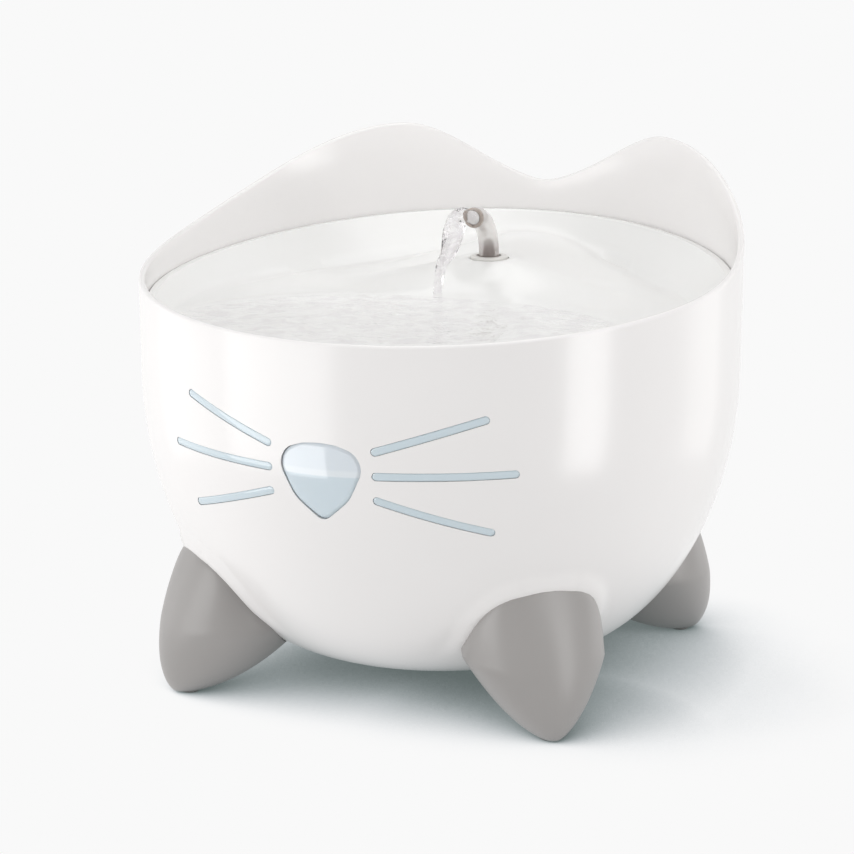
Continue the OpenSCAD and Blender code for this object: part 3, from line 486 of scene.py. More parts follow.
def cut(piece, tools):
    """Cut tool shapes, drawn in millimetres, out of a piece."""
    for number, tool in enumerate(tools):
        knife = finish_shape(f"knife_{number}", tool, "glossy_white_abs")
        change = piece.modifiers.new("cut", "BOOLEAN")
        change.operation, change.solver, change.object = "DIFFERENCE", "EXACT", knife
        made = bpy.data.meshes.new_from_object(piece.evaluated_get(bpy.context.evaluated_depsgraph_get()))
        piece.modifiers.clear()
        old, piece.data = piece.data, made
        bpy.data.meshes.remove(old)
        bpy.data.objects.remove(knife)
    piece.data.shade_smooth()
    piece.data.set_sharp_from_angle(angle=math.radians(SHARP))


print("helpers ready")

# %% [markdown]
# ## Bowl
#
# One moulding: the outside curves up from the dry bay's edge to the shoulder and runs on as a thin upright wall with
# a rounded rim, and a small ledge inside carries the tray. It could be a lattice of hand-set points. A lathe does it
# better: the section is spun once, and then every point above the shoulder is lifted or lowered, so that the rim
# follows the line of the ears and the ledge follows the sloping tray. Round each foot the wall swells a little, so
# that it closes over the foot's edge like a hood.

# %% Bowl section
BEAD = WALL / 2
LEDGE_LOW, LEDGE_TOP = 140.0, 143.2
LEDGE_R = TRAY_R - FLANGE + 0.7
# The heights in the spun section that are moved, and the rows between them that move along.
HOLD_Z = [SHOULDER_Z, LEDGE_LOW, LEDGE_TOP, RIM_FRONT_Z - BEAD, RIM_FRONT_Z]


def bowl_section():
    """The bowl's section as (radius, height) points, with a level rim and a level ledge."""
    outside = [tuple(curve_point(math.pi / 2 * i / 110, 0)) for i in range(111)]
    outside += [(wall_radius(z), z) for z in [SHOULDER_Z + 1.5 * k for k in range(1, 20)] + [RIM_FRONT_Z - BEAD]]
    middle = wall_radius(RIM_FRONT_Z) - BEAD
    rim = [(middle + BEAD * math.cos(t), RIM_FRONT_Z - BEAD + BEAD * math.sin(t))
           for t in [math.pi * k / 8 for k in range(1, 8)]]
    inside = [(wall_radius(z) - WALL, z) for z in [RIM_FRONT_Z - BEAD, 151, 147.5, 143.25]]
    ledge = [(LEDGE_R + 0.3, LEDGE_TOP), (LEDGE_R, LEDGE_TOP - 0.3), (LEDGE_R, LEDGE_LOW + 0.3),
             (LEDGE_R + 0.3, LEDGE_LOW)]
    lower = [(wall_radius(z) - WALL, z) for z in [139.95, 132]]
    lower += [tuple(curve_point(math.pi / 2 * i / 40, WALL)) for i in range(40, 3, -1)]
    lower = [p for p in lower if p[1] > FLOOR_Z + 0.5]
    base = [(lower[-1][0], FLOOR_Z), (BASE_R, FLOOR_Z), (0, FLOOR_Z), (0, FLOOR_Z - WALL), (BAY_R, FLOOR_Z - WALL),
            (BAY_R, BASE_Z)]
    return outside + rim + inside + ledge + lower + base


def lift_above_shoulder(shape):
    """Move the rows above the shoulder onto the rim's line and the ledge's slope."""
    for vert in shape.verts:
        x, y, z = vert.co
        if z <= SHOULDER_Z + 0.001:
            continue
        r = math.hypot(x, y)
        depth = wall_radius(z) - r
        ledge = tray_rim(TRAY_R * y / r) - TRAY_T - SEAT_GAP
        rim = rim_height(math.degrees(math.atan2(x, y)))
        new = [SHOULDER_Z, ledge - (LEDGE_TOP - LEDGE_LOW), ledge, rim - BEAD, rim]
        k = max(i for i in range(4) if z >= HOLD_Z[i] - 1e-6)
        z = new[k] + (new[k + 1] - new[k]) * (z - HOLD_Z[k]) / (HOLD_Z[k + 1] - HOLD_Z[k])
        r_new = wall_radius(z) - depth
        vert.co = (x * r_new / r, y * r_new / r, z)


# Points of an arch, up one side and along its blunt top.
ARCH = [(foot_width(FOOT_H * k / 48), FOOT_H * k / 48) for k in range(16, 49)]
ARCH += [(foot_width(FOOT_H) * k / 10, FOOT_H) for k in range(10)]
# The hood's height and width. It starts at HOOD_LOW, is full after HOOD_RUN, and can't reach above HOOD_HIGH or
# further than HOOD_SIDE from a foot's middle.
HOOD, HOOD_WIDE = 2.2, 8.0
HOOD_LOW, HOOD_RUN, HOOD_HIGH, HOOD_SIDE = 22, 18, 75, 40


def hood(angle, z):
    """How far the wall stands out beside the arch of the nearest foot."""
    turn = min(abs((angle - turned + 180) % 360 - 180) for turned in FOOT_TURNS.values())
    side = math.radians(turn) * bowl_radius(z)
    if side > HOOD_SIDE:
        return 0.0
    inside = z < FOOT_H and side < foot_width(z)
    away = 0.0 if inside else min(math.hypot(side - w, z - h) for w, h in ARCH)
    return HOOD * smooth_step(1 - away / HOOD_WIDE) * smooth_step((z - HOOD_LOW) / HOOD_RUN)


def swell_over_feet(shape):
    """Push the outside out a little round each foot's arch."""
    for vert in shape.verts:
        x, y, z = vert.co
        r = math.hypot(x, y)
        if HOOD_LOW < z < HOOD_HIGH and abs(r - bowl_radius(z)) < 0.01:
            out = hood(math.degrees(math.atan2(x, -y)), z)
            vert.co = (x * (r + out) / r, y * (r + out) / r, z)


bowl_shape = spun(bowl_section(), 360)
lift_above_shoulder(bowl_shape)
swell_over_feet(bowl_shape)
bowl = finish_shape("bowl", bowl_shape, "glossy_white_abs")
print("bowl spun,", len(bowl.data.vertices), "points")

# %% [markdown]
# ### Outlines of the nose and the whiskers
#
# The nose is a rounded triangle and each whisker a narrow slot with round ends. The same outline is used twice: a
# little larger as the hole in the bowl, and as the window that fills it. The nose is the hull of six circles, so its
# edge in any direction comes from the circle that reaches furthest that way. A whisker is one circle, half of which
# is pulled away from the other half.

# %% Nose and whisker outlines
# The outlines are drawn in a plane in front of the bowl. The tools reach from there through the bowl's wall.
PLANE_Y, TOOL_LENGTH = -140.0, 80
NOSE_Z = 103.5
NOSE_CIRCLES = [(-8.4, 5.0, 7.8), (8.4, 5.0, 7.8), (-5.4, 8.1, 5.8), (5.4, 8.1, 5.8), (0.0, 0.8, 13.5),
                (0.0, -12.0, 3.8)]
WHISKER_X, WHISKER_Z, WHISKER_W, WHISKER_PITCH, WHISKER_SLOPE = 20.0, 106.2, 3.3, 9.0, 18.0
WHISKER_LENGTHS = (43.2, 50.2, 43.2)


def nose_reach(angle, less=0.0):
    """Distance from the nose's middle to its outline in a direction."""
    best = 1e9
    for k in range(-44, 45):
        turn = angle + math.radians(2 * k)
        hull = max(cx * math.cos(turn) + cz * math.sin(turn) + cr - less for cx, cz, cr in NOSE_CIRCLES)
        best = min(best, hull / math.cos(turn - angle))
    return best


def nose_tool():
    """The prism that cuts the nose's hole."""
    shape = bmesh.new()
    ring = bmesh.ops.create_circle(shape, cap_ends=True, segments=96, radius=1)["verts"]
    for vert in ring:
        angle = math.atan2(vert.co.y, vert.co.x)
        reach = nose_reach(angle)
        vert.co = (reach * math.cos(angle), PLANE_Y, NOSE_Z + reach * math.sin(angle))
    thicken(shape, TOOL_LENGTH)
    return shape


def whisker_outline(shape, side, row, less):
    """A face with the outline of one whisker, made smaller all round by the last value."""
    length, radius = WHISKER_LENGTHS[row] - 2 * less, WHISKER_W / 2 - less
    ring = bmesh.ops.create_circle(shape, cap_ends=True, segments=24, radius=radius)["verts"]
    for vert in ring:
        if vert.co.x > 0:
            vert.co.x += length - 2 * radius
        vert.co.x += radius
    slope = math.radians((row - 1) * WHISKER_SLOPE + (1 if row == 1 else 0))
    bmesh.ops.rotate(shape, verts=ring, matrix=Matrix.Rotation(slope, 3, "Z"))
    for vert in ring:
        x, z = vert.co.x + WHISKER_X + less, vert.co.y + WHISKER_Z + (row - 1) * WHISKER_PITCH
        vert.co = (side * x, PLANE_Y, z)


def whisker_tool(side, row):
    """The bar that cuts one whisker's slot."""
    shape = bmesh.new()
    whisker_outline(shape, side, row, 0.0)
    thicken(shape, TOOL_LENGTH)
    return shape


cut(bowl, [nose_tool()] + [whisker_tool(side, row) for side in (-1, 1) for row in range(3)])
hang(bowl, "bowl", "bowl_white", "body_shell")

# %% [markdown]
# ### Nose window
#
# A pressed window, slightly domed, that stands a little proud of the bowl, with its edge rounded over. The ball of
# rows and columns suits it: the rows run from the middle of the face out to the edge, round it and back to the
# middle of the hidden side.

# %% Nose window
NOSE_R = bowl_radius(NOSE_Z)
DROP = (SHOULDER_Z - NOSE_Z) / CURVE_B
NOSE_LEAN = math.atan(CURVE_A * DROP / CURVE_B / math.sqrt(1 - DROP ** 2))
DOME_R, PROUD, WINDOW_GAP = 60.0, 0.8, 0.05
DOME_Y = -NOSE_R + (DOME_R - PROUD) * math.cos(NOSE_LEAN)
DOME_Z = NOSE_Z + (DOME_R - PROUD) * math.sin(NOSE_LEAN)
# Each row has its share of the way out, its distance inside the outline and its depth behind the dome. The last
# depth stands for the hidden side, which follows the bowl's inner wall.
NOSE_BACK = 2.4
NOSE_ROWS = [(k / 9, 1.5, 0.0) for k in range(10)] + [
    (1.0, 1.38, 0.02), (1.0, 0.5, 0.42), (1.0, 0.25, 0.58), (1.0, 0.1, 0.85), (1.0, 0.03, 1.2), (1.0, 0.0, 1.6),
    (1.0, 0.0, NOSE_BACK), (0.6, 0.0, NOSE_BACK), (0.0, 0.0, NOSE_BACK)]


def nose_place(row, angle):
    share, less, back = NOSE_ROWS[round(row * (len(NOSE_ROWS) - 1))]
    reach = (nose_reach(angle, less) - WINDOW_GAP) * share
    x, z = reach * math.cos(angle), NOSE_Z + reach * math.sin(angle)
    front = DOME_Y - math.sqrt(DOME_R ** 2 - x * x - (z - DOME_Z) ** 2)
    wall = -math.sqrt((bowl_radius(z) - WALL - 0.25) ** 2 - x * x)
    return Vector((x, front + back if back < NOSE_BACK else wall, z))


nose = finish_shape("nose_window_lens", sent_ball(96, len(NOSE_ROWS) - 1, nose_place), "nose_polycarbonate_painted_highlight", 12)
hang(nose, "bowl", "window_blue", "nose_window")

# %% [markdown]
# ### Whisker windows
#
# Three bars on each side, moulded in one tint with the nose and set flush in the curved wall. Each is cut from its
# flat outline: the outline gets its thickness, the front edge is bevelled, planes slice it across so that it can
# bend, and its points are then laid on the bowl's wall.

# %% Whisker windows
def whisker_bar(shape, side, row):
    """One bar, added to the shape, laid on the wall."""
    bar = bmesh.new()
    whisker_outline(bar, side, row, WINDOW_GAP)
    thicken(bar, WALL)
    front = [e for e in bar.edges if all(abs(v.co.y - PLANE_Y) < 0.01 for v in e.verts)]
    bmesh.ops.bevel(bar, geom=front, offset=0.7, offset_type="OFFSET", affect="EDGES", segments=3, profile=0.5,
                    material=-1, clamp_overlap=True)
    for k in range(10, 36):
        bmesh.ops.bisect_plane(bar, geom=bar.verts[:] + bar.edges[:] + bar.faces[:], dist=1e-5,
                               plane_co=(side * 2.0 * k, 0, 0), plane_no=(1, 0, 0))
    for vert in bar.verts:
        x, depth, z = vert.co.x, vert.co.y - PLANE_Y, vert.co.z
        vert.co = (x, -math.sqrt((bowl_radius(z) - depth) ** 2 - x * x), z)
    bmesh.ops.recalc_face_normals(bar, faces=bar.faces)
    loose = bpy.data.meshes.new("bar")
    bar.to_mesh(loose)
    bar.free()
    shape.from_mesh(loose)
    bpy.data.meshes.remove(loose)


for side, name in ((1, "right"), (-1, "left")):
    bars = bmesh.new()
    for row in range(3):
        whisker_bar(bars, side, row)
    bars = finish_shape(f"whisker_bars_{name}", bars, "milky_blue_polycarbonate", 50)
    hang(bars, "bowl", "window_blue", f"whisker_windows_{name}")

# %% [markdown]
# ## Feet
#
# Each foot is a hollow ear turned upside down: its section at any height is an oval that leans against the bowl, and
# it narrows to a blunt tip on the floor and to a pointed arch on the bowl. The rows of the ball become the heights
# and its columns go once round the oval, outside first and then along the bowl.

# %% Feet
FOOT_COLUMNS, FOOT_ROWS = 88, 42


def foot_outer(z):
    """Distance of the foot's outside from the bowl's axis."""
    if z < BULGE_Z:
        return TIP_R + BULGE * math.sqrt(max(0.0, 1 - (1 - z / BULGE_Z) ** 2))
    top, full = bowl_radius(FOOT_H) + FOOT_GAP + FOOT_LIP, TIP_R + BULGE
    return full - (full - top) * ((z - BULGE_Z) / (FOOT_H - BULGE_Z)) ** 1.8


def foot_place(turned):
    """The place of a row and column on the foot that stands at this angle from the front."""
    def place(row, angle):
        share = min(1.0, max(0.0, (row * FOOT_ROWS - 1) / (FOOT_ROWS - 2)))
        z = PAD_T + (FOOT_H - PAD_T) * (1 - share) ** 1.5
        touch = bowl_radius(z) + FOOT_GAP if z > BASE_Z else 0.0
        middle = max(TIP_R - 4.3 * math.sqrt(z), touch)
        side = math.asin(foot_width(z) / middle) * math.sin(angle)
        reach = abs(math.cos(angle))
        if math.cos(angle) >= 0:
            r = middle + (foot_outer(z) - middle) * reach
        else:
            r = max(middle - (middle - TIP_R + 10.9 * math.sqrt(z)) * reach, touch)
        if row in (0.0, 1.0):
            r, side = middle, 0.0
        where = turned + side
        return Vector((r * math.sin(where), -r * math.cos(where), z))
    return place


for name, degrees in FOOT_TURNS.items():
    foot = sent_ball(FOOT_COLUMNS, FOOT_ROWS, foot_place(math.radians(degrees)))
    foot = finish_shape(f"foot_shell_{name}", foot, "satin_grey_abs", 40)
    hang(foot, "bowl", "foot_grey", f"foot_{name}")

# %% [markdown]
# ## Tray
#
# The tray is a shallow dish that drops into the rim: a narrow ring, a steep step down, a calm shelf, a hill that
# carries the spout, and the drinking pool with a row of drain holes at the front. Its section is spun flat, with a
# rounded outer edge, and its points are then lifted onto the surface formula, so both faces keep the same thickness.

# %% Tray
def tray_section():
    """The tray's section, flat, with its points closer together where the surface bends."""
    inner, ease = TRAY_R - FLANGE, 0.6
    radii = [inner * k / 44 for k in range(40)] + [inner - d for d in (9, 7.5, 6, 4.5, 3, 1.5, ease, 0, -ease)]
    radii = sorted(set(round(r, 3) for r in radii))
    edge = [(TRAY_R - ease + ease * math.sin(t), -ease + ease * math.cos(t)) for t in (0, 0.5, 1.05, 1.57)]
    return [(r, 0.0) for r in radii] + edge + [(TRAY_R, -TRAY_T)] + [(r, -TRAY_T) for r in reversed(radii)]


COLLAR_Z = tray_top(0.0, SPOUT_Y)
SEAT_R, SEAT_RUN = 8.4, 8.0


def tray_drawn(x, y):
    """The tray's surface with a level seat for the collar."""
    near = 1 - smooth_step((math.hypot(x, y - SPOUT_Y) - SEAT_R) / SEAT_RUN)
    return tray_top(x, y) + (COLLAR_Z - tray_top(x, y)) * near


tray_shape = spun(tray_section(), 240)
for vert in tray_shape.verts:
    vert.co.z += tray_drawn(vert.co.x, vert.co.y)
tray = finish_shape("tray_dish", tray_shape, "white_polypropylene")

SLEEVE_Z, SLEEVE_R, COLLAR_R, COLLAR_T, SPOUT_R, SPOUT_IN_R = COLLAR_Z - 9, 6.2, 7.9, 1.6, 4.2, 3.1
# The collar sits this deep in its recess, and SLIP is the play of the pieces that turn or lift out.
RECESS, RECESS_R, SLIP = 0.7, 8.5, 0.05
DRAIN_R, DRAIN_IN, DRAIN_PITCH, DRAINS = 1.8, 3.2, 6, 9


def peg(x, y, low, radius, segments=48, high=200.0):
    """A plain cylinder to cut with."""
    shape = bmesh.new()
    bmesh.ops.create_cone(shape, cap_ends=True, segments=segments, radius1=radius, radius2=radius, depth=high - low)
    bmesh.ops.translate(shape, verts=shape.verts, vec=(x, y, (low + high) / 2))
    return shape


drains = []
for k in range(DRAINS):
    angle = math.radians(180 + DRAIN_PITCH * (k - (DRAINS - 1) / 2))
    r = TRAY_R - FLANGE - DRAIN_IN
    drains.append(peg(r * math.sin(angle), r * math.cos(angle), 120, DRAIN_R, 24, 180))
cut(tray, [peg(0, SPOUT_Y, 130, SLEEVE_R + SLIP), peg(0, SPOUT_Y, COLLAR_Z - RECESS, RECESS_R)] + drains)
hang(tray, "tray", "tray_white", "drinking_tray")

# %% [markdown]
# ### Boss under the tray
#
# The collar's sleeve sits in a short boss below the dish. It shows only when the tray is lifted off. It is a spun
# ring that ends just inside the dish's thickness.

# %% Boss
boss_top = min(tray_top(0, SPOUT_Y + d) for d in (-8, 0, 8)) - 1.0
boss = spun([(SLEEVE_R + SLIP, SLEEVE_Z), (SLEEVE_R + 2.0, SLEEVE_Z), (SLEEVE_R + 2.2, SLEEVE_Z + 0.3),
             (SLEEVE_R + 2.2, boss_top), (SLEEVE_R + SLIP, boss_top)], 64, (0, SPOUT_Y, 0))
boss = finish_shape("tray_boss", boss, "white_polypropylene")
hang(boss, "tray", "tray_white")

# %% [markdown]
# ## Collar and spout
#
# The collar is a turned ring with a rounded shoulder and a sleeve through the tray. The spout is a bent tube: its
# section is a circle that is first pulled straight up and then spun a quarter turn round the bend's centre, once for
# the outside and once for the bore, and the two skins are bridged at both ends.

# %% Collar
collar_profile = [(SPOUT_R + 0.06, SLEEVE_Z), (SLEEVE_R - 0.3, SLEEVE_Z), (SLEEVE_R, SLEEVE_Z + 0.3),
                  (SLEEVE_R, COLLAR_Z - RECESS + SLIP), (COLLAR_R, COLLAR_Z - RECESS + SLIP),
                  (COLLAR_R, COLLAR_Z + 0.3)]
collar_profile += [(COLLAR_R - 0.75 + 0.75 * math.cos(t), COLLAR_Z + 0.35 + 0.75 * math.sin(t))
                   for t in (0.0, 0.4, 0.8, 1.2, 1.57)]
collar_profile += [(SPOUT_R + 0.95, COLLAR_Z + 1.1), (SPOUT_R + 0.9, COLLAR_Z + 0.95),
                   (SPOUT_R + 0.9, COLLAR_Z - 0.35), (SPOUT_R + 0.06, COLLAR_Z - 0.4)]
collar = spun(collar_profile, 96, (0, SPOUT_Y, 0))
hang(finish_shape("spout_ring", collar, "grey_polypropylene"), "tray", "collar_grey", "spout_collar")

# %% Spout
BEND_R, BEND_Z, BEND = 17.5, COLLAR_Z + COLLAR_T + 0.4, math.radians(92)


def tube_skin(shape, radius):
    """One skin of the spout; returns the rings of its lower and its upper end."""
    low = bmesh.ops.create_circle(shape, segments=48, radius=radius)["verts"]
    bmesh.ops.translate(shape, verts=low, vec=(0, SPOUT_Y, SLEEVE_Z - 10))
    start = ring = [e for e in shape.edges if all(v in low for v in e.verts)]
    for height in (SLEEVE_Z - 2, COLLAR_Z, BEND_Z):
        grown = bmesh.ops.extrude_edge_only(shape, edges=ring)
        verts = new_verts(grown)
        ring = [g for g in grown["geom"] if isinstance(g, bmesh.types.BMEdge) and all(v in verts for v in g.verts)]
        for v in verts:
            v.co.z = height
    bent = bmesh.ops.spin(shape, geom=verts + ring, cent=(0, SPOUT_Y - BEND_R, BEND_Z), axis=(1, 0, 0), angle=BEND,
                          steps=32)["geom_last"]
    return start, [g for g in bent if isinstance(g, bmesh.types.BMEdge)]


tube = bmesh.new()
outer_low, outer_high = tube_skin(tube, SPOUT_R)
inner_low, inner_high = tube_skin(tube, SPOUT_IN_R)
bmesh.ops.bridge_loops(tube, edges=outer_low + inner_low)
bmesh.ops.bridge_loops(tube, edges=outer_high + inner_high)
mouth = [e for e in outer_high + inner_high if e.is_valid]
bmesh.ops.bevel(tube, geom=mouth, offset=0.3, offset_type="OFFSET", affect="EDGES", segments=3, profile=0.5,
                material=-1)
spout = finish_shape("spout_tube", tube, "smoky_copolyester", 40)
hang(spout, "spout", "clear_plastic", "spout")

# %% [markdown]
# ## Water
#
# The pool fills the dish up to one level, so its edge is where the tray's surface meets that level. The edge is
# found in each direction by halving the step, and the ball's rows go out just past it and back a little under the
# tray's surface, so that no film of air is left between the water and the tray. Rings of small waves run out from
# where the stream falls. The stream is a thin rope of water that leaves the mouth, bends over and thins as it speeds
# up. Clear water stops next to no light, but a render follows the light that bends through it badly. So neither
# piece casts a shadow or takes part in scattered light, and the tray is lit as if it were dry.

# %% Pool
# The water's level, how far its skin goes under the tray's surface, and the distance that it can't pass.
LEVEL, UNDER, POOL_FAR = 144.45, 0.4, 112.0
POOL_MIDDLE = Vector((0.0, -28.0))
SPLASH = Vector((-12.9, 28.7))


def pool_edge(angle):
    """Distance from the pool's middle to the water's edge in a direction."""
    near, far_out = 0.0, POOL_FAR
    for _ in range(22):
        half = (near + far_out) / 2
        x, y = POOL_MIDDLE.x + half * math.cos(angle), POOL_MIDDLE.y + half * math.sin(angle)
        if math.hypot(x, y) > POOL_FAR or tray_top(x, y) > LEVEL:
            far_out = half
        else:
            near = half
    return near


def wave(x, y, edge_share):
    """Rings round the splash and a little chop, calm at the edge and where the stream comes in."""
    gap = math.hypot(x - SPLASH.x, y - SPLASH.y)
    rings = math.sin(gap * 0.62) * math.exp(-gap / 42) + 0.35 * math.sin(gap * 0.35 + x * 0.09 + y * 0.05)
    chop = math.sin(x * 0.16 + 1.3 * math.sin(y * 0.11)) * math.sin(y * 0.23 + 0.9 * math.sin(x * 0.07))
    calm = 1 - edge_share ** 4
    return (0.3 * rings + 0.16 * chop) * calm * min(1.0, gap / 6)


edge_of = {}


def pool_place(row, angle):
    """The waves on top in the first half of the rows, and the tray's shape below in the other half."""
    if angle not in edge_of:
        edge_of[angle] = pool_edge(angle)
    top = row <= 0.5
    share = min(1.0, (row if top else 1 - row) / 0.48)
    reach = (edge_of[angle] + 0.3) * share
    x, y = POOL_MIDDLE.x + reach * math.cos(angle), POOL_MIDDLE.y + reach * math.sin(angle)
    if top:
        return Vector((x, y, LEVEL + wave(x, y, share)))
    return Vector((x, y, min(tray_top(x, y), LEVEL) - UNDER))


pool = finish_shape("pool", sent_ball(180, 150, pool_place), "pool_water", 60)
pool.visible_shadow = pool.visible_diffuse = False
hang(pool, "tray", "clear_plastic")

# %% Stream
STREAM_COLUMNS, STREAM_ROWS = 28, 62
# Places along the stream's middle, with its radius there.
STREAM = [(0, 36.5, 177.3, 2.9), (-1.8, 34.9, 177.9, 3.0), (-4.9, 34.4, 177.5, 3.6), (-7.1, 33.6, 175.2, 4.0),
          (-7.7, 32.2, 169.3, 3.9), (-9.6, 30.8, 162.6, 3.0), (-12.0, 30.0, 156.8, 2.4), (-13.0, 29.3, 150.6, 1.9),
          (-12.9, 28.7, 144.0, 1.7)]


def along_stream(share):
    """A point of the stream and its radius, on a smooth line through the listed points."""
    u = share * (len(STREAM) - 1)
    k = min(int(u), len(STREAM) - 2)
    t = u - k
    a, b, c, d = [Vector(STREAM[max(0, min(len(STREAM) - 1, k + step))]) for step in (-1, 0, 1, 2)]
    return 0.5 * (2 * b + (c - a) * t + (2 * a - 5 * b + 4 * c - d) * t * t + (3 * b - a - 3 * c + d) * t ** 3)


def stream_place(row, angle):
    """A rope round the smooth line, a little lumpy and twisted."""
    share = min(1.0, max(0.0, (row * STREAM_ROWS - 1) / (STREAM_ROWS - 2)))
    here, ahead = along_stream(share), along_stream(min(1.0, share + 0.02))
    behind = along_stream(max(0.0, share - 0.02))
    way = (ahead.xyz - behind.xyz).normalized()
    side = (Vector((0, 1, 0)) - way * way.y).normalized()
    up = way.cross(side)
    radius = here.w * (1 + 0.1 * math.sin(11 * share + 2 * angle) + 0.07 * math.sin(27 * share + 3 * angle))
    if row in (0.0, 1.0):
        radius = 0.0
    return here.xyz + radius * (side * math.cos(angle) + up * math.sin(angle))


MOUTH_Y, MOUTH_Z, HEAD_LENGTH = 35.8, 177.2, 2.4


def head_place(row, angle):
    """The swelling of the water in the mouth."""
    turn, out = math.pi * row, SPOUT_IN_R - 0.08
    return Vector((out * math.sin(turn) * math.cos(angle), MOUTH_Y - HEAD_LENGTH * math.cos(turn),
                   MOUTH_Z + out * math.sin(turn) * math.sin(angle)))


head = finish_shape("stream_head", sent_ball(32, 20, head_place), "aerated_water", 70)
hang(head, "spout", "clear_plastic")
stream = finish_shape("stream", sent_ball(STREAM_COLUMNS, STREAM_ROWS, stream_place), "falling_water", 70)
stream.visible_shadow = stream.visible_diffuse = False
hang(stream, "spout", "clear_plastic")

# %% [markdown]
# ## Finishes of the solids that stay
#
# The pump, the filter, the light unit and the dry bay keep their solids. Their shape is right, and only their finish
# is missing, so each gets the finish of the real material in its first material slot. The solids that were drawn
# again get theirs too.

# %% Finish the other solids
FINISHED = {
    "glossy_white_abs": "body_shell", "white_polypropylene": "drinking_tray filter_cover",
    "satin_grey_abs": "foot_front_left foot_front_right foot_rear_left foot_rear_right",
    "milky_blue_polycarbonate": "nose_window whisker_windows_left whisker_windows_right",
    "smoky_copolyester": "spout", "grey_polypropylene": "spout_collar", "grey_rubber": "foot_pads",
    "frosted_acrylic": "light_guide", "solder_mask": "light_board control_board", "lamp_epoxy": "leds",
    "matt_polypropylene": "light_housing filter_housing filter_frame base_cover", "carbon_felt": "filter_pad",
    "translucent_silicone": "riser_tube", "black_abs": "pump_housing pump_cover flow_dial",
    "open_foam": "pump_foam", "alumina": "pump_shaft", "white_acetal": "impeller", "ferrite": "impeller_magnet",
    "dark_silicone": "suction_cups base_seal", "lead_pvc": "pump_lead", "grey_silicone": "pump_gland cable_gland",
    "zinc_plate": "base_screws"}
finish_of = {node: finishes[finish] for finish, nodes in FINISHED.items() for node in nodes.split()}
for node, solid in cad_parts.items():
    solid.data.materials.clear()
    solid.data.materials.append(finish_of[node])
print("finished", len(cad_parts), "solids")

# %% [markdown]
# ## Floor, room and lamps
#
# A pale table: the floor glows with the tone of the plain background, and the object's shadow is painted into it,
# a little cool. No lamp casts it, for the floor takes no light. A shadow under a wide soft lamp is the share of the
# lamp's side of the room that the object covers, so the floor measures that share with Ambient Occlusion, once with
# its normal leaning to the front and once to the left, and a colour ramp turns the product into the painted shadow's
# tone. The camera, the mirrors and the clear pieces see the background at its full brightness. The light that falls
# on the object comes from the room at a lower level, from the floor's glow and from seven soft lamps. Those at the
# sides reach below the table's height, because the upright wall of a glossy bowl mirrors what stands there when it
# is seen from above.

# %% Room
BACKGROUND, ROOM_LIGHT = "#F9F9F9", 0.27
room = bpy.data.worlds.new("room")
scene.world = room
room.use_nodes = True
tree = room.node_tree
tree.nodes.clear()
ray = add_node(tree, "ShaderNodeLightPath")
seen = add_node(tree, "ShaderNodeMath", {0: ray.outputs["Is Camera Ray"], 1: ray.outputs["Is Transmission Ray"]},
                operation="MAXIMUM")
seen = add_node(tree, "ShaderNodeMath", {0: seen.outputs[0], 1: ray.outputs["Is Glossy Ray"]}, operation="MAXIMUM")
soft = add_node(tree, "ShaderNodeBackground", {"Color": colour("#FAF9F9"), "Strength": ROOM_LIGHT})
plain = add_node(tree, "ShaderNodeBackground", {"Color": colour(BACKGROUND), "Strength": 1.0})
both = add_node(tree, "ShaderNodeMixShader", {0: seen.outputs[0], 1: soft.outputs[0], 2: plain.outputs[0]})
add_node(tree, "ShaderNodeOutputWorld", {"Surface": both.outputs[0]})


# %% Floor
# The painted shadow's tones, from deepest to none, by the share that the two reads find open.
SHADE = ((0.19, "#5C6665"), (0.3, "#8D9596"), (0.414, "#BCC1C3"), (0.64, "#F1F2F3"), (0.74, BACKGROUND))
# The directions in which the two Ambient Occlusion reads of the painted shadow lean, each standing in for a wide
# lamp, with the distance in metres at which it has run out.
PAINTED_SHADOW_LEANS = (((0.12, -0.7, 0.7), 0.05), ((-1.0, 0.0, 0.0), 0.12))
# The share of the floor's glow, painted shadow and all, that lights the object.
FLOOR_GLOW_SHARE = 0.85
FLOOR_R = 330


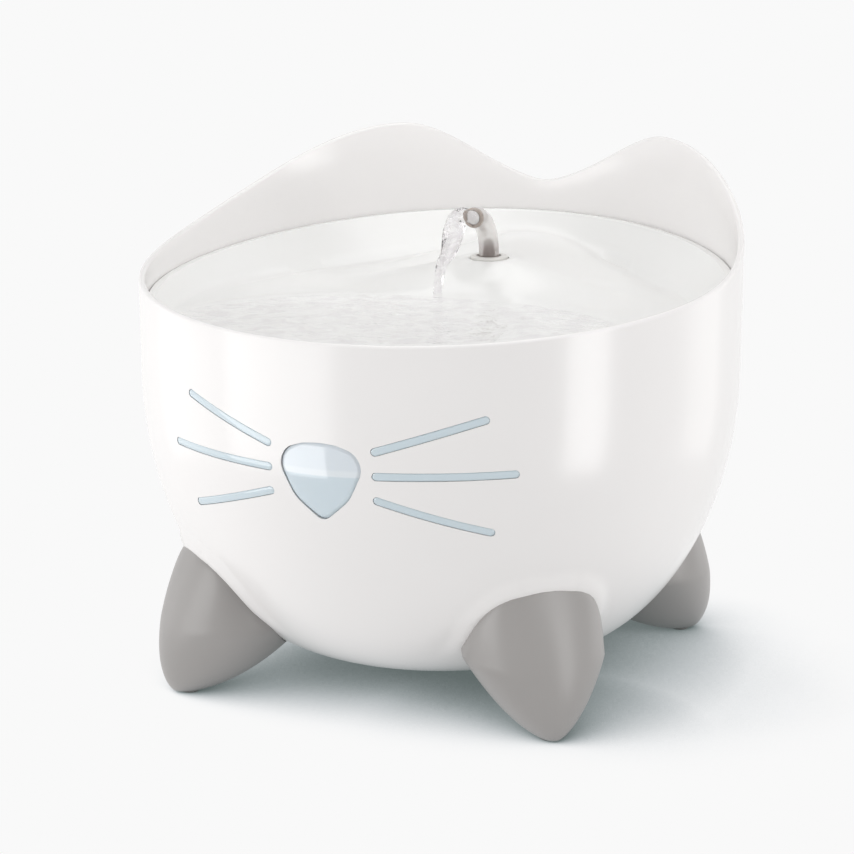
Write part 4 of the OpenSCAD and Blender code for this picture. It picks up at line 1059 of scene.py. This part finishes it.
def studio_floor():
    """Pale paper that glows with the background's tone, with a painted shadow where the object covers the two leaning
    reads.
    """
    tree, place, shader = new_finish("studio_floor")
    share = spread(tree, noise(tree, place, 60.0), 0.99, 1.01)
    for side, distance in PAINTED_SHADOW_LEANS:
        lean = add_node(tree, "ShaderNodeCombineXYZ", dict(enumerate(side)))
        seen = add_node(tree, "ShaderNodeAmbientOcclusion", {"Distance": distance, "Normal": lean.outputs[0]})
        share = add_node(tree, "ShaderNodeMath", {0: share, 1: seen.outputs["AO"]}, operation="MULTIPLY").outputs[0]
    tone = add_node(tree, "ShaderNodeValToRGB", {0: share})
    ramp = tone.color_ramp
    ramp.elements.remove(ramp.elements[1])
    ramp.elements[0].position, ramp.elements[0].color = SHADE[0][0], colour(SHADE[0][1])
    for position, code in SHADE[1:]:
        ramp.elements.new(position).color = colour(code)
    ray = add_node(tree, "ShaderNodeLightPath")
    strength = spread(tree, ray.outputs["Is Diffuse Ray"], 1.0, FLOOR_GLOW_SHARE)
    glow = add_node(tree, "ShaderNodeEmission", {"Color": tone.outputs["Color"], "Strength": strength})
    end = next(n for n in tree.nodes if n.type == "OUTPUT_MATERIAL")
    tree.links.new(glow.outputs[0], end.inputs["Surface"])
    tree.nodes.remove(shader)


floor_shape = bmesh.new()
bmesh.ops.create_circle(floor_shape, cap_ends=True, segments=96, radius=FLOOR_R)
studio_floor()
floor = finish_shape("floor", floor_shape, "studio_floor")
print("floor and room ready")


# %% Lamps
def soft_lamp(name, turn, distance, height, aim, size, power):
    """A rectangular lamp, at an angle from the front towards the right in degrees and at a distance and height."""
    lamp = bpy.data.lights.new(name, "AREA")
    lamp.shape, lamp.size, lamp.size_y, lamp.energy = "RECTANGLE", size[0], size[1], power
    holder = bpy.data.objects.new(name, lamp)
    scene.collection.objects.link(holder)
    turn = math.radians(turn)
    place = Vector((distance * math.sin(turn), -distance * math.cos(turn), height))
    holder.location = place
    holder.rotation_mode = "QUATERNION"
    holder.rotation_quaternion = (Vector(aim) - place).to_track_quat("-Z", "Y")


soft_lamp("key_left", -40.0, 1.3, 0.15, (0, 0, 0.1), (1.1, 1.7), 13.9)
soft_lamp("side_left", -85.0, 1.2, 0.0, (0, 0, 0.08), (0.8, 1.2), 1.8)
soft_lamp("strip_right", 76.0, 1.2, 0.0, (0, 0, 0.1), (0.35, 1.6), 6.8)
soft_lamp("back_right", 135.0, 1.2, 0.1, (0, 0, 0.1), (0.5, 1.6), 1.8)
soft_lamp("fill_right", 80.0, 1.0, 0.9, (-0.05, 0.05, 0.17), (0.9, 0.6), 3.2)
soft_lamp("top", 200.0, 0.3, 1.5, (0, 0, 0.1), (1.2, 1.2), 5.4)
soft_lamp("over_front", 20.0, 0.12, 0.6, (0, 0.03, 0.16), (0.3, 0.3), 0.4)
print("lamps:", len(bpy.data.lights))

# %% [markdown]
# ## Close
#
# The view transform stays plain, so that a colour shows as it is written.

# %% Close
scene.view_settings.view_transform = "Standard"
